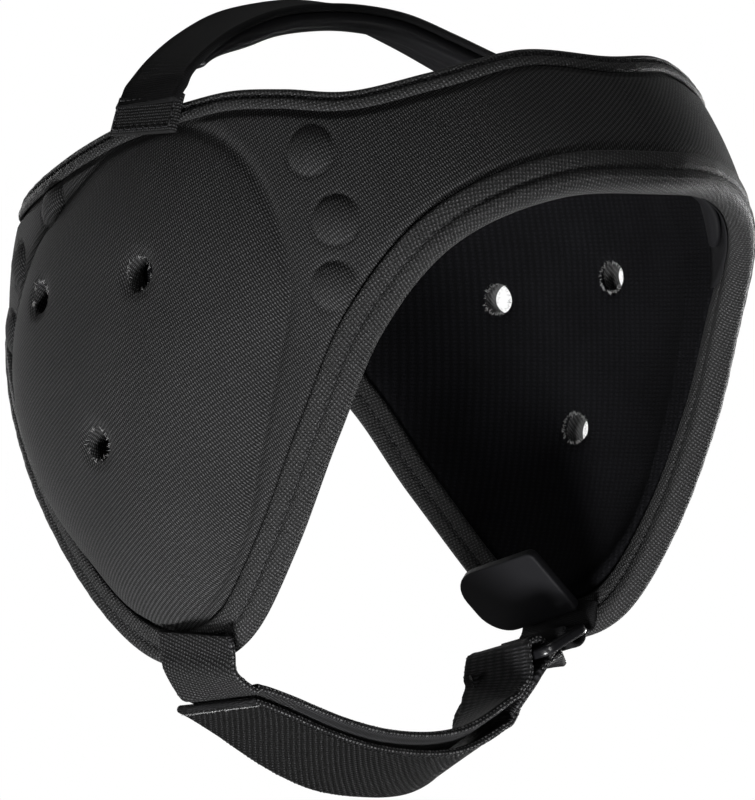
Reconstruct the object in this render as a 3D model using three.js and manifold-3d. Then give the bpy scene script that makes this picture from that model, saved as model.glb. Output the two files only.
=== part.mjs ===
// A wrestling ear guard: one molded ring of laminated foam with a domed cup over each ear,
// bound along both edges, with a strap over the crown and a strap under the chin.
// Millimetres, +Z up, the wearer faces -Y. The origin is where the crown strap sits on the head.

import * as THREE from 'three';
import { mergeVertices } from 'three/addons/utils/BufferGeometryUtils.js';
import Module from 'manifold-3d';

const wasm = await Module();
wasm.setup();

// The ring's own form, measured to the middle of its wall at ear height
const HALF_BREADTH = 77.5;
const FRONT_REACH = 95.5;
const REAR_REACH = 98.5;
const GUARD_HEIGHT = 144;
const CROWN_HEIGHT = 68.5;

// Walls and edges
const SHELL_WALL = 4;
const SHELL_EDGE_WALL = 2;
const LINING_WALL = 1.2;
const BINDING_WALL = 1.2;
const TOP_BINDING_WIDTH = 5.5;
const LOW_BINDING_WIDTH = 9;
const EDGE_SLOPE = 2.2;
const CLEARANCE = 0.3;

// The domed cups
const DOME_ANGLE = 92;
const DOME_LEVEL = -12;
const DOME_RISE = 9.6;
const DOME_HOLLOW = 6.1;
const DOME_FULLNESS = 0.22;
const DOME_FLATNESS = 3;
const DOME_SHOULDER = 0.85;
const HOLE_DIAMETER = 8;
const BUMP_DIAMETER = 10.6;
const BUMP_RISE = 1.7;
const BUMP_ROOT = 1;

// The padding inside the forehead band
const FACING_WALL = 0.9;
const FACING_MARGIN = 1.6;
const FACING_COLUMNS = 7;
const PAD_WALL = 3.6;
const PAD_MARGIN = 4;
const PAD_COLUMNS = 6;

// The strap over the crown
const CROWN_STRAP_Y = 1.5;
const CROWN_STRAP_WIDTH = 24;
const CROWN_STRAP_WALL = 1.8;
const CROWN_PAD_WALL = 2.2;
const CROWN_ROLL_WIDTH = 9.5;
const CROWN_ROLL_WALL = 4.6;
const CROWN_ROLL_CORNER = 2;
const CROWN_GROOVE = 1.1;
const CROWN_GROOVE_WIDTH = 1.5;
const CROWN_PAD_MARGIN = 1;
const PATCH_HEIGHT = 8.5;
const PATCH_WALL = 1.8;
const PATCH_RISE = 1;
const STRAP_ANGLE = 90;
const STRAP_GAP = 0.9;

// The strap under the chin and its buckle
const CHIN_STRAP_Y = -10;
const CHIN_STRAP_WIDTH = 25;
const CHIN_STRAP_WALL = 1.8;
const CHIN_SEAT = 9;
const LAP_SHIFT = 3;
const TIE_WALL = 1.4;
const TIE_PLAY = 1.4;
const TIE_TOP = 9;
const TIE_FOOT = 2.5;
const BAR_INSET = 5.4;
const BAR_DROP = 3.6;
const BAR_GAP = 0.6;
const BUCKLE_Y = -4;
const BUCKLE_BAR = 3.2;
const BUCKLE_WALL = 2.6;
const BUCKLE_LENGTH = 17;
const BUCKLE_PLAY = 1;
const BUCKLE_CORNER = 1;
const BUCKLE_SLOPE = 20;
const BUCKLE_TILT = 16;
const FLAP_Y = -1;
const FLAP_WIDTH = 30;
const FLAP_LENGTH = 20.5;
const FLAP_WALL = 2.6;
const FLAP_LEAN = 40;
const FLAP_CORNER = 8;
const FLAP_FRONT_CORNER = 2;
const FLAP_ROOT = 2.3;
const FLAP_PLAY = 0.6;

// Mesh fineness
const COLUMNS_PER_ROW = 2.5;
const ROUTE_STEPS = 2;
const WRAP_STEPS = 8;
const HOLE_SIDES = 10;
const BUMP_SIDES = 12;
const BUMP_ROWS = 2;
const MERGE_DISTANCE = 1e-4;
const SLOPE_STEP = 0.05;

const rad = THREE.MathUtils.degToRad;

// The ring's plan at even steps of height, from below the cups to above the forehead band.
// Height is a share of GUARD_HEIGHT from the ear line, and the others are shares of their own sizes.
const FORM = [
  { height: -0.694, breadth: 0.82, front: 0.8, rear: 0.77 },
  { height: -0.555, breadth: 0.857, front: 0.855, rear: 0.84 },
  { height: -0.416, breadth: 0.91, front: 0.9, rear: 0.905 },
  { height: -0.277, breadth: 0.955, front: 0.945, rear: 0.96 },
  { height: -0.138, breadth: 0.985, front: 0.98, rear: 0.995 },
  { height: 0.001, breadth: 0.995, front: 0.997, rear: 1 },
  { height: 0.14, breadth: 0.997, front: 0.992, rear: 0.955 },
  { height: 0.279, breadth: 0.957, front: 0.906, rear: 0.855 },
  { height: 0.418, breadth: 0.858, front: 0.764, rear: 0.736 },
  { height: 0.557, breadth: 0.697, front: 0.586, rear: 0.579 },
];
const FRONT_ROUNDNESS = 2.15;
const REAR_ROUNDNESS = 2.2;

// The ring's two finished edges, from the middle of the forehead round one cup to the middle of the back.
// Angles are in degrees from straight ahead, heights are shares of GUARD_HEIGHT from the ear line.
const EDGES = [
  { topAngle: 0, top: 0.421, lowAngle: 0, low: 0.201 },
  { topAngle: 19, top: 0.426, lowAngle: 18, low: 0.19 },
  { topAngle: 36, top: 0.388, lowAngle: 33.5, low: 0.118 },
  { topAngle: 50, top: 0.358, lowAngle: 44.4, low: -0.021 },
  { topAngle: 62, top: 0.363, lowAngle: 51.8, low: -0.194 },
  { topAngle: 73, top: 0.363, lowAngle: 60, low: -0.375 },
  { topAngle: 83, top: 0.349, lowAngle: 70.5, low: -0.517 },
  { topAngle: 92, top: 0.332, lowAngle: 84, low: -0.574 },
  { topAngle: 101, top: 0.312, lowAngle: 99, low: -0.566 },
  { topAngle: 111, top: 0.283, lowAngle: 114, low: -0.486 },
  { topAngle: 123, top: 0.246, lowAngle: 129, low: -0.333 },
  { topAngle: 138, top: 0.207, lowAngle: 140, low: -0.174 },
  { topAngle: 155, top: 0.188, lowAngle: 151, low: -0.042 },
  { topAngle: 180, top: 0.181, lowAngle: 180, low: -0.021 },
];

// The dome's outline at even bearings about its middle, from rearwards and turning upwards.
// Reach is a share of GUARD_HEIGHT.
const DOME_OUTLINE = [0.38, 0.347, 0.329, 0.377, 0.395, 0.346, 0.283, 0.285, 0.36, 0.426, 0.375, 0.372];

// Where the rows across the wall lie, as shares of the way between the two bound edges,
// and across the padding inside the forehead band
const WALL_ROWS = [0, 0.13, 0.36, 0.64, 0.87, 1];
const PAD_ROWS = [0, 0.33, 0.67, 1];

// Ventilation holes through a cup, and raised bumps round it; height is a share of GUARD_HEIGHT
const HOLES = [
  { angle: 85.5, height: 0.07 },
  { angle: 95, height: -0.2 },
  { angle: 112.8, height: 0.031 },
];
const BUMPS = [
  { angle: 56.1, height: 0.259 },
  { angle: 51.5, height: 0.151 },
  { angle: 51.6, height: 0.048 },
  { angle: 117.9, height: 0.184 },
  { angle: 131.5, height: 0.085 },
  { angle: 136, height: -0.03 },
];

// The chin strap's inner layer from the bound tip of one cup to the buckle. Across is a share of the
// way from that cup to the buckle's lower bar, height a share of GUARD_HEIGHT from the ear line, tilt
// raises the front edge, lap is how far the returned layer lies below, centre to centre.
const CHIN_ROUTE = [
  { across: 0.05, height: -0.614, tilt: 8, lap: 2.5 },
  { across: 0.1, height: -0.625, tilt: 11, lap: 2.5 },
  { across: 0.196, height: -0.655, tilt: 16, lap: 2.5 },
  { across: 0.33, height: -0.7, tilt: 23, lap: 2.5 },
  { across: 0.475, height: -0.736, tilt: 28, lap: 2.7 },
  { across: 0.627, height: -0.752, tilt: 29, lap: 3.2 },
  { across: 0.757, height: -0.748, tilt: 30, lap: 4.2 },
  { across: 0.855, height: -0.722, tilt: 30, lap: 5.2 },
  { across: 0.928, height: -0.682, tilt: 26, lap: 6 },
  { across: 0.963, height: -0.636, tilt: 19, lap: 6.6 },
];

// Where each strap meets and leaves its bar, in degrees about it from the buckle's own direction
const CHIN_WRAP = { from: 125, to: -85 };
const TIE_WRAP = { from: 10, to: -225 };

// The crown strap's middle line from one patch to the other. Across is a share of the way out to a
// patch, rise a share of the way up from the patches to the crown, tilt raises the front edge.
const CROWN_ROUTE = [
  { across: -1, rise: 0, tilt: 11 },
  { across: -0.965, rise: 0.17, tilt: 10 },
  { across: -0.88, rise: 0.42, tilt: 7 },
  { across: -0.76, rise: 0.67, tilt: 4 },
  { across: -0.6, rise: 0.89, tilt: 0 },
  { across: -0.42, rise: 1.01, tilt: -3 },
  { across: -0.22, rise: 1.06, tilt: -6 },
  { across: 0, rise: 1, tilt: -7 },
  { across: 0.22, rise: 0.8, tilt: -6 },
  { across: 0.44, rise: 0.56, tilt: -3 },
  { across: 0.66, rise: 0.32, tilt: 2 },
  { across: 0.85, rise: 0.14, tilt: 7 },
  { across: 0.965, rise: 0.07, tilt: 10 },
  { across: 1, rise: 0, tilt: 11 },
];

// How many rows of the route lie before the padding starts
const PAD_START = 1.6;

// Curves through evenly spaced rows of numbers
function curveThrough(rowAt, position) {
  const index = Math.floor(position);
  const t = position - index;
  const [a, b, c, d] = [-1, 0, 1, 2].map((step) => rowAt(index + step));
  const blend = (key) => 0.5 * (2 * b[key] + (c[key] - a[key]) * t
    + (2 * a[key] - 5 * b[key] + 4 * c[key] - d[key]) * t * t
    + (3 * b[key] - a[key] - 3 * c[key] + d[key]) * t * t * t);
  return Object.fromEntries(Object.keys(b).map((key) => [key, blend(key)]));
}

function beyondEnds(rows, index) {
  if (index < 0) return extrapolate(rows[0], rows[1], -index);
  if (index >= rows.length) return extrapolate(rows.at(-1), rows.at(-2), index - rows.length + 1);
  return rows[index];
}

function extrapolate(last, inner, steps) {
  const beyond = (key) => last[key] + steps * (last[key] - inner[key]);
  return Object.fromEntries(Object.keys(last).map((key) => [key, beyond(key)]));
}

// The middle surface of the ring's wall
const FORM_STEP = FORM[1].height - FORM[0].height;

function formAt(height) {
  const position = (height / GUARD_HEIGHT - FORM[0].height) / FORM_STEP;
  return curveThrough((index) => beyondEnds(FORM, index), position);
}

function wallPoint(angle, height) {
  const form = formAt(height);
  const turn = rad(angle);
  const ahead = Math.cos(turn) >= 0;
  const roundness = ahead ? FRONT_ROUNDNESS : REAR_ROUNDNESS;
  const length = ahead ? form.front * FRONT_REACH : form.rear * REAR_REACH;
  const sideways = Math.abs(Math.sin(turn) / (form.breadth * HALF_BREADTH)) ** roundness;
  const lengthways = Math.abs(Math.cos(turn) / length) ** roundness;
  const reach = (sideways + lengthways) ** (-1 / roundness);
  return new THREE.Vector3(-reach * Math.sin(turn), -reach * Math.cos(turn), height);
}

function wallSlopes(angle, height) {
  const step = SLOPE_STEP;
  const round = wallPoint(angle + step, height).sub(wallPoint(angle - step, height));
  const up = wallPoint(angle, height + step).sub(wallPoint(angle, height - step));
  round.divideScalar(2 * step);
  up.divideScalar(2 * step);
  const outward = round.clone().cross(up).normalize();
  if (outward.dot(wallPoint(angle, height).setZ(0)) < 0) outward.negate();
  return { round, up, outward };
}

function offsetPoint({ angle, height }, offset) {
  return wallPoint(angle, height).addScaledVector(wallSlopes(angle, height).outward, offset);
}

// The edges, as places on the wall, and places set in from them
const HALF_ROWS = EDGES.length - 1;
const COLUMNS = Math.round(2 * HALF_ROWS * COLUMNS_PER_ROW);

function edgeRow(index) {
  const wrapped = THREE.MathUtils.euclideanModulo(index, 2 * HALF_ROWS);
  const turns = 360 * Math.floor(index / (2 * HALF_ROWS));
  const mirrored = wrapped > HALF_ROWS;
  const row = EDGES[mirrored ? 2 * HALF_ROWS - wrapped : wrapped];
  const angleOf = (angle) => turns + (mirrored ? 360 - angle : angle);
  return { topAngle: angleOf(row.topAngle), top: row.top, lowAngle: angleOf(row.lowAngle), low: row.low };
}

function edgePlace(edge, column) {
  const row = curveThrough(edgeRow, column);
  return { angle: row[edge + 'Angle'], height: row[edge] * GUARD_HEIGHT };
}

function insetPlace(edge, column, inset) {
  const place = edgePlace(edge, column);
  const { round, up, outward } = wallSlopes(place.angle, place.height);
  const after = edgePlace(edge, column + SLOPE_STEP);
  const before = edgePlace(edge, column - SLOPE_STEP);
  const along = wallPoint(after.angle, after.height).sub(wallPoint(before.angle, before.height));
  const inward = outward.clone().cross(along).normalize();
  if (edge === 'low') inward.negate();
  const [rr, ru, uu] = [round.dot(round), round.dot(up), up.dot(up)];
  const [r, u] = [inward.dot(round), inward.dot(up)];
  const scale = inset / (rr * uu - ru * ru);
  return {
    angle: place.angle + scale * (r * uu - u * ru),
    height: place.height + scale * (u * rr - r * ru),
  };
}

function betweenPlaces(from, to, share) {
  return {
    angle: THREE.MathUtils.lerp(from.angle, to.angle, share),
    height: THREE.MathUtils.lerp(from.height, to.height, share),
  };
}

// How far the cup stands out from the wall at a place: 1 at the dome's top, 0 outside its outline
function domeShare({ angle, height }) {
  const turned = THREE.MathUtils.euclideanModulo(angle, 360);
  const mirrored = turned > 180 ? 360 - turned : turned;
  const across = rad(mirrored - DOME_ANGLE) * HALF_BREADTH;
  const up = height - DOME_LEVEL;
  const bearing = THREE.MathUtils.euclideanModulo(Math.atan2(up, across) / (2 * Math.PI), 1);
  const rowAt = (index) => ({ outline: DOME_OUTLINE.at(index % DOME_OUTLINE.length) });
  const { outline } = curveThrough(rowAt, bearing * DOME_OUTLINE.length);
  const reach = Math.hypot(across, up) / (outline * GUARD_HEIGHT);
  const fuller = 1 - DOME_FULLNESS * up / (DOME_OUTLINE[3] * GUARD_HEIGHT);
  return reach < 1 ? fuller * (1 - reach ** DOME_FLATNESS) ** DOME_SHOULDER : 0;
}

// Offsets of each layer from the middle of the wall
const SHELL_OUT = SHELL_WALL / 2;
const SHELL_EDGE_OUT = SHELL_EDGE_WALL / 2;
const LAYER_STEP = CLEARANCE + LINING_WALL;
const BINDING_OUT = SHELL_EDGE_OUT + CLEARANCE;
const BINDING_IN = SHELL_EDGE_OUT + LAYER_STEP + CLEARANCE;
const BINDING_FACE_OUT = BINDING_OUT + BINDING_WALL;
const BINDING_FACE_IN = BINDING_IN + BINDING_WALL;
const FOLD = CLEARANCE + BINDING_WALL;
const BINDING_WIDTHS = { low: LOW_BINDING_WIDTH, top: TOP_BINDING_WIDTH };

// A closed skin through sections that hold the same number of points, in loop or capped at its ends
function loft(sections, closed) {
  const size = sections[0].length;
  const positions = sections.flat().flatMap((point) => point.toArray());
  const faces = [];
  const spans = closed ? sections.length : sections.length - 1;
  for (let s = 0; s < spans; s += 1) {
    const here = s * size;
    const there = ((s + 1) % sections.length) * size;
    const ahead = sections[(s + 1) % sections.length];
    for (let i = 0; i < size; i += 1) {
      const j = (i + 1) % size;
      const shorter = sections[s][i].distanceTo(ahead[j]) < sections[s][j].distanceTo(ahead[i]);
      faces.push(here + i, here + j, shorter ? there + j : there + i);
      faces.push(shorter ? here + i : here + j, there + j, there + i);
    }
  }
  if (!closed) {
    for (const [index, flip] of [[0, true], [sections.length - 1, false]]) {
      const middle = positions.length / 3;
      const centre = new THREE.Vector3();
      for (const point of sections[index]) centre.addScaledVector(point, 1 / size);
      positions.push(...centre.toArray());
      for (let i = 0; i < size; i += 1) {
        const [a, b] = [index * size + i, index * size + ((i + 1) % size)];
        faces.push(middle, flip ? b : a, flip ? a : b);
      }
    }
  }
  const geometry = new THREE.BufferGeometry();
  geometry.setAttribute('position', new THREE.Float32BufferAttribute(positions, 3));
  geometry.setIndex(faces);
  return geometry;
}

// Cutting
function toSolid(geometry) {
  const bare = geometry.clone();
  bare.deleteAttribute('normal');
  bare.deleteAttribute('uv');
  const merged = mergeVertices(bare, MERGE_DISTANCE);
  const mesh = new wasm.Mesh({
    numProp: 3,
    vertProperties: new Float32Array(merged.attributes.position.array),
    triVerts: new Uint32Array(merged.index.array),
  });
  return new wasm.Manifold(mesh);
}

function cutAway(geometry, tools, raised = []) {
  let solid = toSolid(geometry);
  for (const piece of raised) solid = solid.add(toSolid(piece));
  for (const tool of tools) solid = solid.subtract(toSolid(tool));
  const mesh = solid.getMesh();
  const result = new THREE.BufferGeometry();
  result.setAttribute('position', new THREE.Float32BufferAttribute(mesh.vertProperties, 3));
  result.setIndex(Array.from(mesh.triVerts));
  return result;
}

function bothSides(rows) {
  return rows.flatMap((row) => [row, { ...row, angle: 360 - row.angle }]);
}

function standOn(geometry, place, offset) {
  const { outward } = wallSlopes(place.angle, place.height);
  const turn = new THREE.Quaternion().setFromUnitVectors(new THREE.Vector3(0, 1, 0), outward);
  geometry.applyQuaternion(turn);
  return geometry.translate(...offsetPoint(place, offset).toArray());
}

function holeTools() {
  const radius = HOLE_DIAMETER / 2;
  const length = 4 * (SHELL_WALL + DOME_RISE);
  return bothSides(HOLES).map(({ angle, height }) => {
    const drill = new THREE.CylinderGeometry(radius, radius, length, HOLE_SIDES);
    return standOn(drill, { angle, height: height * GUARD_HEIGHT }, 0);
  });
}

function bumpPieces() {
  const rim = BUMP_DIAMETER / 2;
  const radius = (rim ** 2 + BUMP_RISE ** 2) / (2 * BUMP_RISE);
  const spread = Math.asin(rim / radius);
  const profile = [new THREE.Vector2(0, -BUMP_ROOT), new THREE.Vector2(rim, -BUMP_ROOT)];
  for (let row = BUMP_ROWS; row >= 0; row -= 1) {
    const turn = (spread * row) / BUMP_ROWS;
    const drop = radius * (1 - Math.cos(turn));
    profile.push(new THREE.Vector2(radius * Math.sin(turn), BUMP_RISE - drop));
  }
  return bothSides(BUMPS).map(({ angle, height }) => {
    const bump = new THREE.LatheGeometry(profile, BUMP_SIDES);
    return standOn(bump, { angle, height: height * GUARD_HEIGHT }, SHELL_OUT);
  });
}

// The ring's layers: places up the wall from the lower edge to the upper one
function seatPlaces(edge, column) {
  const covered = BINDING_WIDTHS[edge] + CLEARANCE;
  return [FOLD, covered, covered + EDGE_SLOPE].map((inset) => insetPlace(edge, column, inset));
}

function wallPlaces(column) {
  const low = seatPlaces('low', column);
  const top = seatPlaces('top', column).reverse();
  const body = WALL_ROWS.map((share) => betweenPlaces(low.at(-1), top[0], share));
  const bound = (place) => ({ ...place, bound: true });
  return [...low.slice(0, -1).map(bound), ...body, ...top.slice(1).map(bound)];
}

function outerFace(place) {
  return place.bound ? SHELL_EDGE_OUT : SHELL_OUT + DOME_RISE * domeShare(place);
}

function innerFace(place) {
  return place.bound ? -SHELL_EDGE_OUT : -SHELL_OUT + DOME_HOLLOW * domeShare(place);
}

function ringLayer(outer, inner) {
  const sections = [];
  for (let c = 0; c < COLUMNS; c += 1) {
    const places = wallPlaces(c / COLUMNS_PER_ROW);
    const outside = places.map((place) => offsetPoint(place, outer(place)));
    const inside = places.map((place) => offsetPoint(place, inner(place))).reverse();
    sections.push([...inside, ...outside]);
  }
  return loft(sections, true);
}

function shellGeometry() {
  return cutAway(ringLayer(outerFace, innerFace), holeTools(), bumpPieces());
}

function liningGeometry() {
  const back = (place) => innerFace(place) - CLEARANCE;
  const face = (place) => innerFace(place) - LAYER_STEP;
  return cutAway(ringLayer(back, face), holeTools());
}

// Bindings folded over the edges of the shell and its lining
function bindingGeometry(edge) {
  const width = BINDING_WIDTHS[edge];
  const inside = FOLD - CLEARANCE;
  const profile = [
    [width, BINDING_OUT], [width, BINDING_FACE_OUT], [FOLD, BINDING_FACE_OUT],
    [0, (BINDING_FACE_OUT - BINDING_FACE_IN) / 2], [FOLD, -BINDING_FACE_IN],
    [width, -BINDING_FACE_IN], [width, -BINDING_IN], [inside, -BINDING_IN], [inside, BINDING_OUT],
  ];
  const points = edge === 'low' ? [...profile].reverse() : profile;
  const sections = [];
  for (let c = 0; c < COLUMNS; c += 1) {
    const column = c / COLUMNS_PER_ROW;
    sections.push(points.map(([inset, offset]) => offsetPoint(insetPlace(edge, column, inset), offset)));
  }
  return loft(sections, true);
}

// Layers inside the forehead band, symmetrical about its middle
function foreheadLayer(columns, margin, back, wall) {
  const sections = [];
  for (let c = -columns; c <= columns; c += 1) {
    const column = c / COLUMNS_PER_ROW;
    const from = insetPlace('low', column, margin);
    const to = insetPlace('top', column, margin);
    const places = PAD_ROWS.map((share) => betweenPlaces(from, to, share));
    const outside = places.map((place) => offsetPoint(place, -back));
    const inside = places.map((place) => offsetPoint(place, -back - wall)).reverse();
    sections.push([...inside, ...outside]);
  }
  return loft(sections, false);
}

const FACING_BACK = BINDING_FACE_IN + CLEARANCE;
const PAD_BACK = FACING_BACK + FACING_WALL + CLEARANCE;

// A strap along stations: each has its centre and the direction of its front edge.
// The profile's points run anticlockwise, as distances to the front and outwards.
function strap(stations, profile) {
  const sections = stations.map(({ centre, front }, index) => {
    const next = stations[Math.min(index + 1, stations.length - 1)].centre;
    const last = stations[Math.max(index - 1, 0)].centre;
    const along = next.clone().sub(last).normalize();
    const wide = front.clone().addScaledVector(along, -front.dot(along)).normalize();
    const outward = wide.clone().cross(along).normalize();
    return profile.map(([forward, out]) => centre.clone()
      .addScaledVector(wide, forward).addScaledVector(outward, out));
  });
  return loft(sections, false);
}

function flatProfile(width, wall) {
  return [[-width / 2, -wall / 2], [-width / 2, wall / 2], [width / 2, wall / 2], [width / 2, -wall / 2]];
}

function frontEdge(tilt) {
  return new THREE.Vector3(0, -Math.cos(rad(tilt)), Math.sin(rad(tilt)));
}

// The crown strap: patches sewn over the top binding, and an arch between them
const TOP_EDGE_HEIGHT = edgePlace('top', EDGES.findIndex((row) => row.topAngle >= STRAP_ANGLE)).height;
const PATCH_TOP = TOP_EDGE_HEIGHT + FOLD + PATCH_RISE;
const PATCH_OFFSET = BINDING_FACE_OUT + CLEARANCE + PATCH_WALL / 2;

function patchGeometry(side) {
  const stations = [0, 0.5, 1].map((share) => {
    const place = { angle: STRAP_ANGLE * side, height: PATCH_TOP - PATCH_HEIGHT * (1 - share) };
    const centre = offsetPoint(place, PATCH_OFFSET);
    return { centre: centre.setY(CROWN_STRAP_Y), front: frontEdge(CROWN_ROUTE[0].tilt) };
  });
  return strap(side > 0 ? stations : stations.reverse(), flatProfile(CROWN_STRAP_WIDTH, PATCH_WALL));
}

const SPRING = offsetPoint({ angle: STRAP_ANGLE, height: PATCH_TOP + STRAP_GAP }, PATCH_OFFSET);
const CROWN_MIDDLE = CROWN_HEIGHT + CROWN_ROLL_WALL + CLEARANCE + CROWN_STRAP_WALL / 2;

function crownStations(from, to) {
  const steps = ROUTE_STEPS * (CROWN_ROUTE.length - 1);
  return Array.from({ length: steps + 1 }, (_, index) => {
    const position = THREE.MathUtils.lerp(from, CROWN_ROUTE.length - 1 - to, index / steps);
    const row = curveThrough((at) => beyondEnds(CROWN_ROUTE, at), position);
    const height = THREE.MathUtils.lerp(SPRING.z, CROWN_MIDDLE, row.rise);
    const centre = new THREE.Vector3(-row.across * SPRING.x, CROWN_STRAP_Y, height);
    return { centre, front: frontEdge(row.tilt) };
  });
}

function crownStrapGeometry() {
  return strap(crownStations(0, 0), flatProfile(CROWN_STRAP_WIDTH, CROWN_STRAP_WALL));
}

function crownPadGeometry() {
  const front = CROWN_STRAP_WIDTH / 2 - CROWN_PAD_MARGIN;
  const back = -front;
  const roll = front - CROWN_ROLL_WIDTH;
  const top = -CROWN_STRAP_WALL / 2 - CLEARANCE;
  const profile = [
    [back, top - CROWN_PAD_WALL], [back, top], [front, top], [front, top - CROWN_ROLL_WALL / 2],
    [front - CROWN_ROLL_CORNER, top - CROWN_ROLL_WALL], [roll + CROWN_ROLL_CORNER, top - CROWN_ROLL_WALL],
    [roll, top - CROWN_GROOVE], [roll - CROWN_GROOVE_WIDTH, top - CROWN_PAD_WALL],
  ];
  return strap(crownStations(PAD_START, PAD_START), profile);
}

// Where a strap's layers are sewn to a cup's bound tip, on its outer or its inner face
const TIP = Math.min(...EDGES.map((row) => row.low)) * GUARD_HEIGHT;
const CHIN_OFFSET = BINDING_FACE_OUT + CLEARANCE + CHIN_STRAP_WALL / 2;
const TIE_OFFSET = -BINDING_FACE_IN - TIE_PLAY - TIE_WALL / 2;

function seatStations({ side, forward, offset, top, foot }) {
  return [top, (top + foot) / 2, foot].map((height) => {
    const centre = offsetPoint({ angle: STRAP_ANGLE * side, height: TIP + height }, offset);
    return { centre: centre.setY(forward), front: frontEdge(0) };
  });
}

const CHIN_TAB = seatStations({
  side: 1, forward: CHIN_STRAP_Y, offset: CHIN_OFFSET, top: CHIN_SEAT, foot: 0,
});
const TIE_TAB = seatStations({
  side: -1, forward: BUCKLE_Y, offset: TIE_OFFSET, top: TIE_TOP, foot: TIE_FOOT,
});

// The buckle hangs from the tie, with both bars square to its own direction
const BUCKLE_DIRECTION = new THREE.Vector3(Math.cos(rad(BUCKLE_SLOPE)), 0, Math.sin(rad(BUCKLE_SLOPE)));
const BUCKLE_UP = frontEdge(BUCKLE_TILT).cross(BUCKLE_DIRECTION).normalize();
const BUCKLE_WIDE = BUCKLE_DIRECTION.clone().cross(BUCKLE_UP);
const UPPER_BAR = TIE_TAB.at(-1).centre.clone().add(new THREE.Vector3(-BAR_INSET, 0, -BAR_DROP));
const LOWER_BAR = UPPER_BAR.clone().addScaledVector(BUCKLE_DIRECTION, BUCKLE_BAR - BUCKLE_LENGTH);
const BAR_ROOM = Math.hypot(BUCKLE_BAR, BUCKLE_WALL) / 2 + BAR_GAP;

// Round a bar of the buckle, by angles from the buckle's own direction
function wrapStations(bar, wall, { from, to }) {
  const radius = BAR_ROOM + wall / 2;
  return Array.from({ length: WRAP_STEPS + 1 }, (_, index) => {
    const turn = rad(THREE.MathUtils.lerp(from, to, index / WRAP_STEPS));
    const centre = bar.clone().addScaledVector(BUCKLE_DIRECTION, radius * Math.cos(turn));
    centre.addScaledVector(BUCKLE_UP, radius * Math.sin(turn));
    return { centre, front: BUCKLE_WIDE };
  });
}

// The chin strap: down from one cup, across to the buckle, round its bar and back
function chinRoute(position, lap) {
  const row = curveThrough((index) => beyondEnds(CHIN_ROUTE, index), position);
  const across = THREE.MathUtils.lerp(CHIN_TAB.at(-1).centre.x, LOWER_BAR.x, row.across);
  const forward = THREE.MathUtils.lerp(CHIN_STRAP_Y, BUCKLE_Y, row.across);
  const centre = new THREE.Vector3(across, forward, row.height * GUARD_HEIGHT - lap * row.lap);
  return { centre, front: frontEdge(row.tilt) };
}

function chinStrapGeometry() {
  const steps = ROUTE_STEPS * (CHIN_ROUTE.length - 1);
  const positions = Array.from({ length: steps + 1 }, (_, index) => index / ROUTE_STEPS);
  const out = positions.map((position) => chinRoute(position, 0));
  const back = positions.slice(1).reverse().map((position) => {
    const station = chinRoute(position, 1);
    station.centre.addScaledVector(station.front, -LAP_SHIFT);
    return station;
  });
  const wrap = wrapStations(LOWER_BAR, CHIN_STRAP_WALL, CHIN_WRAP);
  const stations = [...CHIN_TAB, ...out, ...wrap, ...back];
  return strap(stations, flatProfile(CHIN_STRAP_WIDTH, CHIN_STRAP_WALL));
}

// The webbing that ties the buckle to the inner side of the other cup
function buckleTieGeometry() {
  const stations = [...TIE_TAB, ...wrapStations(UPPER_BAR, TIE_WALL, TIE_WRAP)];
  return strap(stations, flatProfile(CHIN_STRAP_WIDTH, TIE_WALL));
}

// A rounded rectangle whose two front corners can have their own radius
function roundedOutline(shape, width, height, corner, frontCorner = corner) {
  const [x, y] = [width / 2, height / 2];
  shape.moveTo(-x + corner, -y);
  shape.lineTo(x - frontCorner, -y);
  shape.absarc(x - frontCorner, -y + frontCorner, frontCorner, -Math.PI / 2, 0);
  shape.lineTo(x, y - frontCorner);
  shape.absarc(x - frontCorner, y - frontCorner, frontCorner, 0, Math.PI / 2);
  shape.lineTo(-x + corner, y);
  shape.absarc(-x + corner, y - corner, corner, Math.PI / 2, Math.PI);
  shape.lineTo(-x, -y + corner);
  shape.absarc(-x + corner, -y + corner, corner, Math.PI, Math.PI * 1.5);
  return shape;
}

function plate(shape, wall) {
  const options = { depth: wall, bevelEnabled: false, curveSegments: 4 };
  return new THREE.ExtrudeGeometry(shape, options).translate(0, 0, -wall / 2);
}

// Sets a plate's width and length along the given directions
function setPlate(geometry, across, up, origin) {
  const wide = across.clone().addScaledVector(up, -across.dot(up)).normalize();
  const matrix = new THREE.Matrix4().makeBasis(wide, up, wide.clone().cross(up));
  return geometry.applyMatrix4(matrix.setPosition(origin));
}

function buckleGeometry() {
  const outerWidth = CHIN_STRAP_WIDTH + 2 * (BUCKLE_BAR + BUCKLE_PLAY);
  const shape = roundedOutline(new THREE.Shape(), outerWidth, BUCKLE_LENGTH, BUCKLE_BAR);
  const inner = [outerWidth - 2 * BUCKLE_BAR, BUCKLE_LENGTH - 2 * BUCKLE_BAR];
  shape.holes.push(roundedOutline(new THREE.Path(), ...inner, BUCKLE_CORNER));
  const middle = LOWER_BAR.clone().lerp(UPPER_BAR, 0.5);
  return setPlate(plate(shape, BUCKLE_WALL), BUCKLE_WIDE, BUCKLE_DIRECTION, middle);
}

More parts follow.
